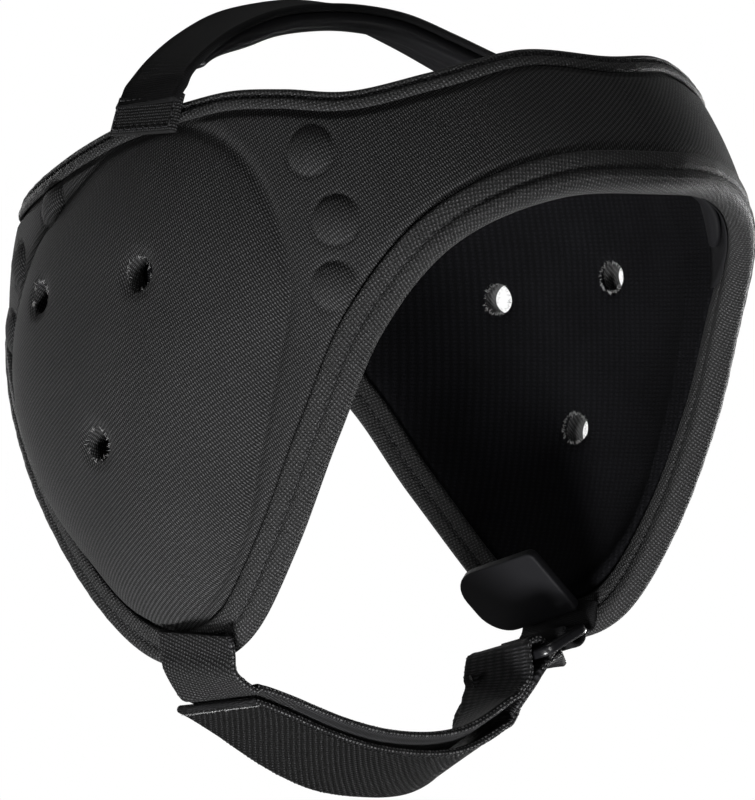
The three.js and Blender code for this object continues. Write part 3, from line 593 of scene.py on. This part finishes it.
# %% Bound edges
def tape_profile(width, groove, out, inside):
    outer = [(width, BINDING_OUT), (width + 0.15, out - 0.55), (width - 0.35, out - 0.05)]
    for d in np.linspace(width - 1, 2.2, 14):
        dip = 0.75 * math.exp(-((d - groove) / 0.55) ** 2)
        belly = 0.3 * math.sin(math.pi * min(d / groove, 1)) if d < groove else 0.1
        outer.append((d, out + belly - dip))
    mid, radius = (out + inside) / 2, (out - inside) / 2
    turn = [(2.1 + 2.1 * math.cos(t), mid + radius * math.sin(t))
            for t in np.radians(np.linspace(90, 270, 11))]
    inner = []
    for d in np.linspace(2.4, width - 0.6, 12):
        inner.append((d, inside + 0.7 * math.exp(-((d - groove) / 0.55) ** 2)))
    inner += [(width + 0.1, inside + 0.5), (width, -BINDING_IN), (1.2, -BINDING_IN), (1.2, BINDING_OUT)]
    return np.array(outer + turn + inner)


def tape(name, edge, width, groove, columns):
    profile = tape_profile(width, groove, BINDING_FACE_OUT, -BINDING_FACE_IN)
    column = np.broadcast_to(columns[:, None], (len(columns), len(profile)))
    pucker = 1 + 0.012 * np.sin(columns * 61)[:, None] + 0.02 * np.sin(columns * 23 + 1)[:, None]
    out = profile[None, :, 1] * np.where(profile[None, :, 1] > 2, pucker, 1)
    return skin(name, offset(inset(edge, column, profile[None, :, 0]), out), TAPE, ring=True)


TAPE_COLUMNS = ring_columns(420)
top_tape = tape("upper_edge_tape", "top", TOP_BINDING_WIDTH, TOP_GROOVE, TAPE_COLUMNS)
low_tape = tape("lower_edge_tape", "low", LOW_BINDING_WIDTH, LOW_GROOVE, TAPE_COLUMNS)
print("tape faces:", len(top_tape.data.polygons), len(low_tape.data.polygons))

# %% [markdown]
# The forehead has a soft pad behind a satin facing, seen only at its rounded ends. Both are laid on
# the inner side of the band, the pad a little smaller than its facing.

# %% Forehead pad and facing
def forehead(name, columns, margin, back, depth, material):
    column = np.linspace(-columns / 2.5, columns / 2.5, 90)
    swell = np.sqrt(np.clip(1 - np.abs(column / column[-1]) ** 8, 0.02, 1))
    low = inset("low", column, margin + (1 - swell) * 9)
    top = inset("top", column, margin + (1 - swell) * 9)
    share = np.linspace(0, 1, 26)
    angle = low[0][:, None] + (top[0] - low[0])[:, None] * share
    height = low[1][:, None] + (top[1] - low[1])[:, None] * share
    round_over = np.clip(1 - np.abs(2 * share - 1) ** 6, 0, 1) ** 0.5
    face = -back - depth * (0.25 + 0.75 * round_over[None] * swell[:, None])
    outer = offset((angle, height), np.full(angle.shape, -back))
    return skin(name, np.concatenate([offset((angle, height), face)[:, ::-1], outer], 1), material)


facing = forehead("forehead_satin_facing", 7, 1.6, 4.3, 0.9, SATIN)
pad = forehead("forehead_soft_pad", 6, 4.0, 5.5, 3.6, SATIN)
print("forehead pieces built")

# %% [markdown]
# Straps are swept along a line of stations, each with the direction of its front edge, so that a
# strap can roll as it goes. The crown strap leaves the near patch steeply, arches over and comes down
# flatter, as a strap does once it has been worn pulled to one side.

# %% Strap sweeps
def front_edge(tilt):
    tilt = np.radians(tilt)
    return np.stack([0 * tilt, -np.cos(tilt), np.sin(tilt)], -1)


def sweep(centres, fronts, profile):
    ahead = np.concatenate([centres[1:], centres[-1:]])
    behind = np.concatenate([centres[:1], centres[:-1]])
    along = unit(ahead - behind)
    wide = unit(fronts - dot(fronts, along) * along)
    outward = unit(np.cross(wide, along))
    profile = np.asarray(profile, float)
    profile = np.broadcast_to(profile, (len(centres), *profile.shape[-2:]))
    return (centres[:, None] + wide[:, None] * profile[..., :1] + outward[:, None] * profile[..., 1:])


STRAP_STEPS, SIDE_STEPS = 24, 4


def strap_profile(width, depth, rim):
    half, r = width / 2, depth / 2
    across = np.linspace(-half + r, half - r, STRAP_STEPS)
    top = [(x, r + rim * (math.exp(-((abs(x) - half + 1.3) / 0.5) ** 2))) for x in across]
    right = arc((half - r, 0), r, 60, -60, SIDE_STEPS)
    bottom = [(x, -r) for x in across[::-1]]
    left = arc((-half + r, 0), r, 240, 120, SIDE_STEPS)
    return np.array(top + right + bottom + left)


PATCH_TOP = float(edge_place("top", 7)[1]) + FOLD + 1
PATCH_OFFSET = BINDING_FACE_OUT + CLEARANCE + STRAP_WALL / 2
SPRING = offset((np.array(90.0), np.array(PATCH_TOP + 0.9)), PATCH_OFFSET)
CROWN_MIDDLE = CROWN_HEIGHT + CROWN_ROLL_WALL + CLEARANCE + STRAP_WALL / 2
CROWN_ROUTE = np.array([
    (-1, 0, 11), (-0.965, 0.17, 10), (-0.88, 0.42, 7), (-0.76, 0.67, 4), (-0.6, 0.89, 0),
    (-0.42, 1.01, -3), (-0.22, 1.06, -6), (0, 1, -7), (0.22, 0.8, -6), (0.44, 0.56, -3),
    (0.66, 0.32, 2), (0.85, 0.14, 7), (0.965, 0.07, 10), (1, 0, 11)])


def crown_line(start, end, count):
    row = curve(CROWN_ROUTE, np.linspace(start, len(CROWN_ROUTE) - 1 - end, count))
    height = SPRING[2] + (CROWN_MIDDLE - SPRING[2]) * row[:, 1]
    centres = np.stack([-row[:, 0] * SPRING[0], np.full(count, CROWN_STRAP_Y), height], -1)
    return centres, front_edge(row[:, 2])


crown_profile = strap_profile(CROWN_STRAP_WIDTH, STRAP_WALL, 0.35)
crown = skin("crown_webbing", sweep(*crown_line(-0.8, -0.8, 150), crown_profile), WEBBING)


def roll_profile(count):
    """The quilted roll's section at each place: it starts thin under the strap and swells"""
    front, roll, top = 11.0, 1.5, -STRAP_WALL / 2 - CLEARANCE
    furrows = ((-4, 0.35, 0.35), (-7.5, -0.3, 0.4), (-9.3, -0.3, 0.4))
    bottom = [(x, top - 2.2 + sum(rise * math.exp(-((x - at) / wide) ** 2) for at, rise, wide in furrows))
              for x in np.linspace(-10.7, 0.2, 26)]
    middle = (front + roll) / 2
    tube = [((x - middle) * 1.98 + middle, z) for x, z in arc((middle, top - 2.2), 2.4, 200, 340, 14)]
    section = np.array([(front, top), (-front, top), (-front, top - 1.6), *bottom, (1.0, top - 1.1), *tube])
    share = np.linspace(0, 1, count)
    swell = np.clip(np.minimum(share, 1 - share) / 0.2, 0, 1)
    swell = 0.3 + 0.7 * swell * swell * (3 - 2 * swell)
    grown = np.repeat(section[None], count, 0)
    grown[..., 1] = top + (grown[..., 1] - top) * swell[:, None]
    return grown


crown_pad = skin("crown_webbing_padding", sweep(*crown_line(1.6, 1.6, 130), roll_profile(130)), SATIN)


def patch_line(side, count):
    place = (np.full(count, 90.0 * side), PATCH_TOP - PATCH_HEIGHT * (1 - np.linspace(0, 1, count)))
    centres = offset(place, np.full(count, PATCH_OFFSET))
    centres[:, 1] = CROWN_STRAP_Y
    centres = centres if side > 0 else centres[::-1]
    return centres, np.repeat(front_edge(np.array([PATCH_TILT])), count, 0)


patch_profile = strap_profile(CROWN_STRAP_WIDTH, STRAP_WALL, 0.2)
patches = [skin(name, sweep(*patch_line(side, 14), patch_profile), PATCH)
           for name, side in (("right_crown_patch", 1), ("left_crown_patch", -1))]
print("crown strap built")

# %% [markdown]
# The chin strap is one band. It's sewn to the near cup's tip, crosses under the chin, goes round the
# buckle's lower bar and comes back over itself, where its netted face grips the brushed face beneath.

# %% Chin strap, tie, buckle and flap
CHIN_ROUTE = np.array([
    (0.05, -0.614, 8, 2.5), (0.1, -0.625, 11, 2.5), (0.196, -0.655, 16, 2.5), (0.33, -0.7, 23, 2.5),
    (0.475, -0.736, 28, 2.7), (0.627, -0.752, 29, 3.2), (0.757, -0.748, 30, 4.2),
    (0.855, -0.722, 30, 5.2), (0.928, -0.682, 26, 6), (0.963, -0.636, 19, 6.6)])
CHIN_STRAP_Y, BUCKLE_Y, BUCKLE_SLOPE, BUCKLE_TILT = -10.0, -4.0, 20, 16.0
BUCKLE_BAR, BUCKLE_WALL, BUCKLE_LENGTH, BAR_GAP, TIE_WALL = 3.2, 2.6, 17.0, 0.6, 1.4
TIP = min(row[3] for row in EDGES) * GUARD_HEIGHT
TAB_POINTS, WRAP_POINTS, REFINE = 3, 9, 6


def tab_line(side, forward, out, top, foot):
    height = TIP + np.array([top, (top + foot) / 2, foot])
    centres = offset((np.full(TAB_POINTS, 90.0 * side), height), np.full(TAB_POINTS, float(out)))
    centres[:, 1] = forward
    return centres, np.repeat(front_edge(np.array([0.0])), TAB_POINTS, 0)


CHIN_TAB = tab_line(1, CHIN_STRAP_Y, BINDING_FACE_OUT + CLEARANCE + STRAP_WALL / 2, 9, 0)
TIE_TAB = tab_line(-1, BUCKLE_Y, -BINDING_FACE_IN - 1.4 - TIE_WALL / 2, 9, 2.5)
AHEAD = np.array([math.cos(math.radians(BUCKLE_SLOPE)), 0, math.sin(math.radians(BUCKLE_SLOPE))])
BUCKLE_UP = unit(np.cross(front_edge(np.array(BUCKLE_TILT)), AHEAD))
BUCKLE_WIDE = np.cross(AHEAD, BUCKLE_UP)
UPPER_BAR = TIE_TAB[0][-1] - np.array([5.4, 0, 3.6])
LOWER_BAR = UPPER_BAR + AHEAD * (BUCKLE_BAR - BUCKLE_LENGTH)
BAR_ROOM = math.hypot(BUCKLE_BAR, BUCKLE_WALL) / 2 + BAR_GAP


def wrap_line(bar, wall_depth, start, end):
    turn = np.radians(np.linspace(start, end, WRAP_POINTS))
    radius = BAR_ROOM + wall_depth / 2
    centres = bar + radius * (np.cos(turn)[:, None] * AHEAD + np.sin(turn)[:, None] * BUCKLE_UP)
    return centres, np.repeat(BUCKLE_WIDE[None], WRAP_POINTS, 0)


def chin_line(position, lap):
    row = curve(CHIN_ROUTE, position)
    share = row[:, 0]
    near = CHIN_TAB[0][-1][0]
    forward = CHIN_STRAP_Y + (BUCKLE_Y - CHIN_STRAP_Y) * share
    centres = np.stack([near + (LOWER_BAR[0] - near) * share, forward,
                        row[:, 1] * GUARD_HEIGHT - lap * row[:, 3]], -1)
    fronts = front_edge(row[:, 2])
    return centres - LAP_SHIFT * lap * fronts, fronts


def joined(*lines):
    """One finely stepped line of stations through several"""
    stations = [np.concatenate([line[k] for line in lines]) for k in (0, 1)]
    count = len(stations[0]) - 1
    return [curve(points, np.linspace(0, count, count * REFINE + 1)) for points in stations]


steps = np.arange(0, len(CHIN_ROUTE) - 0.5, 0.5)
chin_path = joined(CHIN_TAB, chin_line(steps, 0), wrap_line(LOWER_BAR, STRAP_WALL, 125, -85),
                   chin_line(steps[:0:-1], 1))
NEAR_TAB, RETURN = 7 * REFINE, (TAB_POINTS + len(steps) + WRAP_POINTS - 1) * REFINE
chin_profile = strap_profile(CHIN_STRAP_WIDTH, STRAP_WALL, 0.25)


def chin_slots(i, j):
    upper = j < STRAP_STEPS
    lower = (j >= STRAP_STEPS + SIDE_STEPS) & (j <= 2 * STRAP_STEPS + SIDE_STEPS)
    return np.where((i < NEAR_TAB) & lower, 1, np.where((i >= RETURN) & upper, 2, 0))


chin = skin("chin_webbing", sweep(*chin_path, chin_profile), [RIBBED, FUZZY, NET], slots=chin_slots)

tie_path = joined(TIE_TAB, wrap_line(UPPER_BAR, TIE_WALL, 10, -225))
tie = skin("buckle_tie_webbing", sweep(*tie_path, strap_profile(CHIN_STRAP_WIDTH, TIE_WALL, 0.1)), WEBBING)


def outline(width, height, rear, front):
    points = []
    for sx, sy, start, c in ((1, -1, -90, front), (1, 1, 0, front), (-1, 1, 90, rear), (-1, -1, 180, rear)):
        points += arc((sx * (width / 2 - c), sy * (height / 2 - c)), c, start, start + 90, 8)
    return np.array(points)


def rounded_plate(name, width, height, corners, depth, across, up, middle, material, bevel, window=None):
    away = np.cross(across, up)
    round_off = np.radians(np.linspace(75, 0, 6))
    half = [(bevel * 1.6, depth / 2)]
    half += [(bevel * (1 - math.cos(t)), depth / 2 - bevel * (1 - math.sin(t))) for t in round_off]
    side = half + [(a, -b) for a, b in half[::-1]]

    def loop_at(flat, level):
        return middle + flat[:, :1] * across + flat[:, 1:] * up + away * level

    rings = [loop_at(outline(width - 2 * a, height - 2 * a, *(max(c - a, 0.15) for c in corners)), b)
             for a, b in side]
    if window is not None:
        rings += [loop_at(outline(window[0] + 2 * a, window[1] + 2 * a, 1.0 + a, 1.0 + a), b)
                  for a, b in side[::-1]]
    return skin(name, np.stack(rings), material, ring=window is not None)


buckle_width = CHIN_STRAP_WIDTH + 2 * (BUCKLE_BAR + 1)
buckle = rounded_plate("molded_buckle", buckle_width, BUCKLE_LENGTH, (BUCKLE_BAR, BUCKLE_BAR),
                       BUCKLE_WALL, BUCKLE_WIDE, AHEAD, (LOWER_BAR + UPPER_BAR) / 2, PLASTIC, 0.9,
                       window=(buckle_width - 2 * BUCKLE_BAR, BUCKLE_LENGTH - 2 * BUCKLE_BAR))
FLAP_LEAN, FLAP_WALL, FLAP_LENGTH, FLAP_WIDTH, FLAP_ROOT, FLAP_Y = 40, 2.6, 20.5, 30.0, 2.3, -1.0
FLAP_PLAY = 0.6
flap_wide = front_edge(np.array(BUCKLE_TILT))
lean = np.array([-math.sin(math.radians(FLAP_LEAN)), 0, math.cos(math.radians(FLAP_LEAN))])
flap_up = unit(lean - (lean @ flap_wide) * flap_wide)
flap_away = np.cross(flap_up, flap_wide)
flap_middle = (UPPER_BAR + flap_away * (BAR_ROOM + TIE_WALL + FLAP_PLAY + FLAP_WALL / 2)
               + flap_up * (FLAP_ROOT + FLAP_LENGTH / 2) + flap_wide * (BUCKLE_Y - FLAP_Y))
flap = rounded_plate("molded_chin_flap", FLAP_WIDTH, FLAP_LENGTH, (8, 2), FLAP_WALL, flap_wide, flap_up,
                     flap_middle, RUBBER, 0.6)
print("chin strap, tie, buckle and flap built")

# %% [markdown]
# Thread. Each seam is a row of places with a direction and an outward side, and one node tool lays
# the same stitch on every place. Real lockstitch sinks at its ends, so a stitch is a short arched
# rod. The tool ends with real geometry and its material, and is applied before the piece is used.

# %% Stitches, edge yarns and frayed fibres
def rod(name, length, thickness, arch, material):
    count = 7
    x = np.linspace(-length / 2, length / 2, count)
    z = arch * (1 - (2 * x / length) ** 2)
    width = thickness * np.array([0.4, 0.85, 1, 1, 1, 0.85, 0.4])
    ring = np.array(arc((0, 0), 0.5, 0, 300, 5))
    points = [np.stack([np.full(6, x[k]), ring[:, 0] * width[k], z[k] + ring[:, 1] * width[k]], -1)
              for k in range(count)]
    return skin(name, np.stack(points) - EAR_FRAME, material)


def scatter_tool():
    tree = bpy.data.node_groups.new("Lay stitches", "GeometryNodeTree")
    for label, kind in (("Geometry", "NodeSocketGeometry"), ("Stitch", "NodeSocketObject"),
                        ("Thread", "NodeSocketMaterial"), ("Seed", "NodeSocketInt"),
                        ("Unevenness", "NodeSocketFloat")):
        tree.interface.new_socket(label, in_out="INPUT", socket_type=kind)
    tree.interface.new_socket("Geometry", in_out="OUTPUT", socket_type="NodeSocketGeometry")
    new, link = tree.nodes.new, tree.links.new
    source, sink = new("NodeGroupInput"), new("NodeGroupOutput")
    piece = new("GeometryNodeObjectInfo")
    link(source.outputs["Stitch"], piece.inputs["Object"])
    lay = new("GeometryNodeInstanceOnPoints")
    link(source.outputs["Geometry"], lay.inputs["Points"])
    link(piece.outputs["Geometry"], lay.inputs["Instance"])
    turn = None
    for axis, label in (("X", "along"), ("Z", "outward")):
        align = new("FunctionNodeAlignEulerToVector")
        align.axis = axis
        align.pivot_axis = "AUTO" if axis == "X" else "X"
        vector = new("GeometryNodeInputNamedAttribute")
        vector.data_type = "FLOAT_VECTOR"
        vector.inputs["Name"].default_value = label
        link(vector.outputs["Attribute"], align.inputs["Vector"])
        if turn is not None:
            link(turn, align.inputs["Rotation"])
        turn = align.outputs["Rotation"]
    link(turn, lay.inputs["Rotation"])
    vary = new("FunctionNodeRandomValue")
    vary.data_type = "FLOAT"
    low, high = new("ShaderNodeMath"), new("ShaderNodeMath")
    low.operation, high.operation = "SUBTRACT", "ADD"
    for node in (low, high):
        node.inputs[0].default_value = 1
        link(source.outputs["Unevenness"], node.inputs[1])
    link(low.outputs[0], [s for s in vary.inputs if s.name == "Min" and s.type == "VALUE"][0])
    link(high.outputs[0], [s for s in vary.inputs if s.name == "Max" and s.type == "VALUE"][0])
    link(source.outputs["Seed"], vary.inputs["Seed"])
    size = [s for s in vary.outputs if s.type == "VALUE"][0]
    link(size, lay.inputs["Scale"])
    real, paint = new("GeometryNodeRealizeInstances"), new("GeometryNodeSetMaterial")
    link(lay.outputs["Instances"], real.inputs["Geometry"])
    link(real.outputs["Geometry"], paint.inputs["Geometry"])
    link(source.outputs["Thread"], paint.inputs["Material"])
    link(paint.outputs["Geometry"], sink.inputs["Geometry"])
    return tree


SCATTER = scatter_tool()
STITCH_ROD = rod("stitch rod", 2.0, 0.42, 0.22, THREAD)
FIBRE_ROD = rod("fibre rod", 0.9, 0.055, 0.12, LINT)
PICK_ROD = rod("pick rod", 0.8, 0.45, 0.1, EDGE_YARN_PAINTED_GLINT)


def lay(name, places, along, outward, part, material, seed, uneven):
    mesh = bpy.data.meshes.new(name)
    mesh.from_pydata(to_frame(places).tolist(), [], [])
    for label, values in (("along", along), ("outward", outward)):
        layer = mesh.attributes.new(label, "FLOAT_VECTOR", "POINT")
        layer.data.foreach_set("vector", np.asarray(values, float).ravel())
    obj = bpy.data.objects.new(name, mesh)
    bpy.context.scene.collection.objects.link(obj)
    tool = obj.modifiers.new("stitches", "NODES")
    tool.node_group = SCATTER
    ids = {item.name: item.identifier for item in SCATTER.interface.items_tree if item.in_out == "INPUT"}
    tool[ids["Stitch"]], tool[ids["Thread"]] = part, material
    tool[ids["Seed"]], tool[ids["Unevenness"]] = seed, uneven
    done = applied(obj, tool)
    done.polygons.foreach_set("use_smooth", [True] * len(done.polygons))
    return obj


def rows_joined(rows):
    return [np.concatenate([row[k] for row in rows]) for k in range(3)]


def spaced(points, pitch):
    """Places at an even pitch along a line, and the line's direction there"""
    run = lengths(points[None], 1)[0]
    at = np.arange(pitch / 2, run[-1], pitch)
    place = np.stack([np.interp(at, run, points[:, k]) for k in range(3)], -1)
    ahead = np.stack([np.interp(at + 0.3, run, points[:, k]) for k in range(3)], -1)
    behind = np.stack([np.interp(at - 0.3, run, points[:, k]) for k in range(3)], -1)
    return place, unit(ahead - behind), at / run[-1]


def tape_seam(edge, distance, out, pitch, zigzag=0.0):
    columns = np.linspace(0, 2 * HALF_ROWS, 1600)
    line = offset(inset(edge, columns, distance), np.full(1600, float(out)))
    place, along, share = spaced(line, pitch)
    outward = slopes(*inset(edge, share * 2 * HALF_ROWS, distance))[2]
    outward = outward if out > 0 else -outward
    if zigzag:
        cross = unit(np.cross(outward, along))
        swing = np.where(np.arange(len(place)) % 2 == 0, 1, -1)[:, None]
        along = unit(along + cross * swing * zigzag)
    return place, along, outward


seams = [tape_seam("low", LOW_GROOVE, BINDING_FACE_OUT - 0.75, 2.7),
         tape_seam("low", LOW_GROOVE, -BINDING_FACE_IN + 0.7, 2.7),
         tape_seam("top", TOP_GROOVE, BINDING_FACE_OUT - 0.6, 1.5, zigzag=1.1),
         tape_seam("top", TOP_GROOVE, -BINDING_FACE_IN + 0.7, 2.7)]
tape_thread = lay("tape_stitching", *rows_joined(seams), STITCH_ROD, THREAD, 3, 0.08)


def strap_seam(path, start, end, across, out, pitch, face=1):
    """A row along a strap where across is one distance, or over it where across is a pair"""
    centres, fronts = path[0][start:end], path[1][start:end]
    if np.ndim(across):
        widths = np.linspace(*across, 40)
        line = sweep(centres[:2], fronts[:2], [[w, out] for w in widths])[0]
    else:
        line = sweep(centres, fronts, [[across, out]])[:, 0]
    place, along, _ = spaced(line, pitch)
    lifted = sweep(centres, fronts, [[0, 0], [0, face]])
    normal = unit((lifted[:, 1] - lifted[:, 0]).mean(0))
    return place, along, np.repeat(normal[None], len(place), 0)


strap_rows = []
for side in (1, -1):
    line = patch_line(side, 30)
    strap_rows += [strap_seam(line, 3, 27, x, 0.95, 2.3) for x in (-10.6, 10.6)]
    strap_rows += [strap_seam(line, k, k + 2, (-10.6, 10.6), 0.95, 2.3) for k in (3, 26)]
strap_rows += [strap_seam(chin_path, 2, 16, x, 0.95, 2.4) for x in (-11, 11)]
strap_rows += [strap_seam(chin_path, k, k + 2, (-11, 11), 0.95, 2.4) for k in (2, 12)]
strap_thread = lay("strap_stitching", *rows_joined(strap_rows), STITCH_ROD, THREAD, 5, 0.08)

half_width = CHIN_STRAP_WIDTH / 2
# the chin strap's edge picks, laid in the lightened yarn that paints glints along its edges
pick_rows = [strap_seam(chin_path, *span, side * (half_width - 0.2), 0.3 * face, 1.35, face)
             for span in ((2, RETURN), (RETURN, None)) for side in (1, -1) for face in (1, -1)]
picks = lay("webbing_edge_yarns", *rows_joined(pick_rows), PICK_ROD, EDGE_YARN_PAINTED_GLINT, 7, 0.25)


def fray():
    place, along, up = strap_seam(chin_path, -4, None, (-half_width + 0.2, half_width - 0.2), 0.9, 0.16)
    rows = [(place, unit(along + rng.normal(0, 0.6, along.shape)), up)]
    for _, place, middle, out, a, b in vent_frames():
        rise = float(dome(*place)[0])
        for face, level, count in ((1, SHELL_OUT + DOME_RISE * rise - 0.9, 60),
                                   (-1, -SHELL_OUT - LINING_WALL + DOME_HOLLOW * rise, 130)):
            turn = rng.uniform(0, math.tau, count)
            ring = a * np.cos(turn)[:, None] + b * np.sin(turn)[:, None]
            lean = rng.normal(0, 0.5, (count, 1)) * np.cross(out, ring)
            radius = HOLE_RADIUS + rng.normal(-0.05, 0.16, (count, 1))
            root = middle + ring * radius + out * (level + rng.normal(0, 0.25, (count, 1)))
            ahead = unit(-ring * 0.9 + lean + out * face * rng.normal(0.3, 0.5, (count, 1)))
            rows.append((root, ahead, np.repeat((out * face)[None], count, 0)))
    return rows_joined(rows)


fibres = lay("frayed_vent_fibres", *fray(), FIBRE_ROD, LINT, 9, 0.5)
for part in (STITCH_ROD, FIBRE_ROD, PICK_ROD):
    bpy.data.objects.remove(part)
print("stitch faces:", [len(piece.data.polygons) for piece in (tape_thread, strap_thread, picks, fibres)])

# %% [markdown]
# Every piece stands for its frame nodes and rides on the one body.

# %% Pieces on the frame
PIECES = [
    (shell, ["guard_shell"], "shell_knit"), (lining, ["inner_lining"], "lining_pile"),
    (top_tape, ["top_binding"], "binding_knit"), (low_tape, ["lower_binding"], "binding_knit"),
    (facing, ["forehead_facing"], "satin"), (pad, ["forehead_pad"], "satin"),
    (crown, ["crown_strap"], "webbing"), (crown_pad, ["crown_strap_pad"], "satin"),
    (patches[0], ["crown_patch_right"], "webbing"), (patches[1], ["crown_patch_left"], "webbing"),
    (chin, ["chin_strap"], "webbing"), (tie, ["buckle_tie"], "webbing"),
    (buckle, ["buckle"], "buckle_plastic"), (flap, ["chin_flap"], "flap_rubber"),
    (tape_thread, [], "binding_knit"), (strap_thread, [], "webbing"), (picks, [], "webbing"),
    (fibres, [], "lining_pile")]
for piece, nodes, finish in PIECES:
    if nodes:
        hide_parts(*nodes)
    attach(piece, "root")
print("pieces:", len(PIECES))

# %% [markdown]
# The stage is a plain pale floor that runs out of sight and a pale world. The world looks white but
# gives little light, so that black cloth keeps its depth. The key lamp stands low on the left, so
# faces that lean up fall away into the dark, and softer lamps all round draw the other sides.

# %% Stage
world = bpy.data.worlds.new("Pale studio")
bpy.context.scene.world = world
world.use_nodes = True
tree = world.node_tree
background = tree.nodes["Background"]
rays = tree.nodes.new("ShaderNodeLightPath")
level = maths(tree, "MULTIPLY_ADD", rays.outputs["Is Camera Ray"], 1.0 - AMBIENT, AMBIENT)
background.inputs["Color"].default_value = (1, 1, 1, 1)
tree.links.new(level, background.inputs["Strength"])

FLOOR_RADIUS, FLOOR_LEVEL, FLOOR_SIDES = 9, -1.4, 48
floor_mesh = bpy.data.meshes.new("Floor")
rim = [(FLOOR_RADIUS * math.cos(t), FLOOR_RADIUS * math.sin(t), FLOOR_LEVEL)
       for t in np.linspace(0, math.tau, FLOOR_SIDES + 1)[:-1]]
floor_mesh.from_pydata(rim, [], [list(range(FLOOR_SIDES))])
floor = bpy.data.objects.new("Floor", floor_mesh)
bpy.context.scene.collection.objects.link(floor)
pale, tree, shader = blank_material("Pale floor")
set_values(shader, Base_Color=(0.5, 0.5, 0.5, 1), Roughness=1, Specular_IOR_Level=0,
           Emission_Color=(1, 1, 1, 1))
rays = tree.nodes.new("ShaderNodeLightPath")
tree.links.new(rays.outputs["Is Camera Ray"], shader.inputs["Emission Strength"])
floor_mesh.materials.append(pale)

LAMP_AIM = Vector((0, 0, -0.08))
# place in metres, power in watts and width in metres
LAMPS = {
    "Low key lamp": ((-0.72, -0.46, -0.95), 30, 0.4), "Front lamp": ((-0.6, -1.6, -0.05), 8, 0.5),
    "Left lamp": ((-1.0, 1.3, -0.5), 6, 0.5), "Right lamp": ((1.5, 0.2, -0.25), 26, 0.7),
    "Rear lamp": ((0.5, 1.6, 0.1), 9, 0.9), "Top lamp": ((0.3, 0.3, 1.5), 5, 0.9)}
for name, (at, power, width) in LAMPS.items():
    data = bpy.data.lights.new(name, "AREA")
    data.energy, data.shape, data.size = power, "DISK", width
    obj = bpy.data.objects.new(name, data)
    obj.location = at
    obj.rotation_euler = (LAMP_AIM - Vector(at)).to_track_quat("-Z", "Y").to_euler()
    bpy.context.scene.collection.objects.link(obj)

camera_data = bpy.data.cameras.new("Camera")
camera_data.sensor_width, camera_data.lens, camera_data.shift_x = 36, 202.3, -0.0031
camera = bpy.data.objects.new("Camera", camera_data)
pitch = math.radians(1.07)
look = Vector((0.70711 * math.cos(pitch), 0.70711 * math.cos(pitch), -math.sin(pitch)))
camera.location = (-0.7849, -0.7864, -0.0685)
camera.rotation_euler = look.to_track_quat("-Z", "Y").to_euler()
bpy.context.scene.collection.objects.link(camera)
bpy.context.scene.camera = camera
bpy.context.scene.view_settings.view_transform = "Standard"
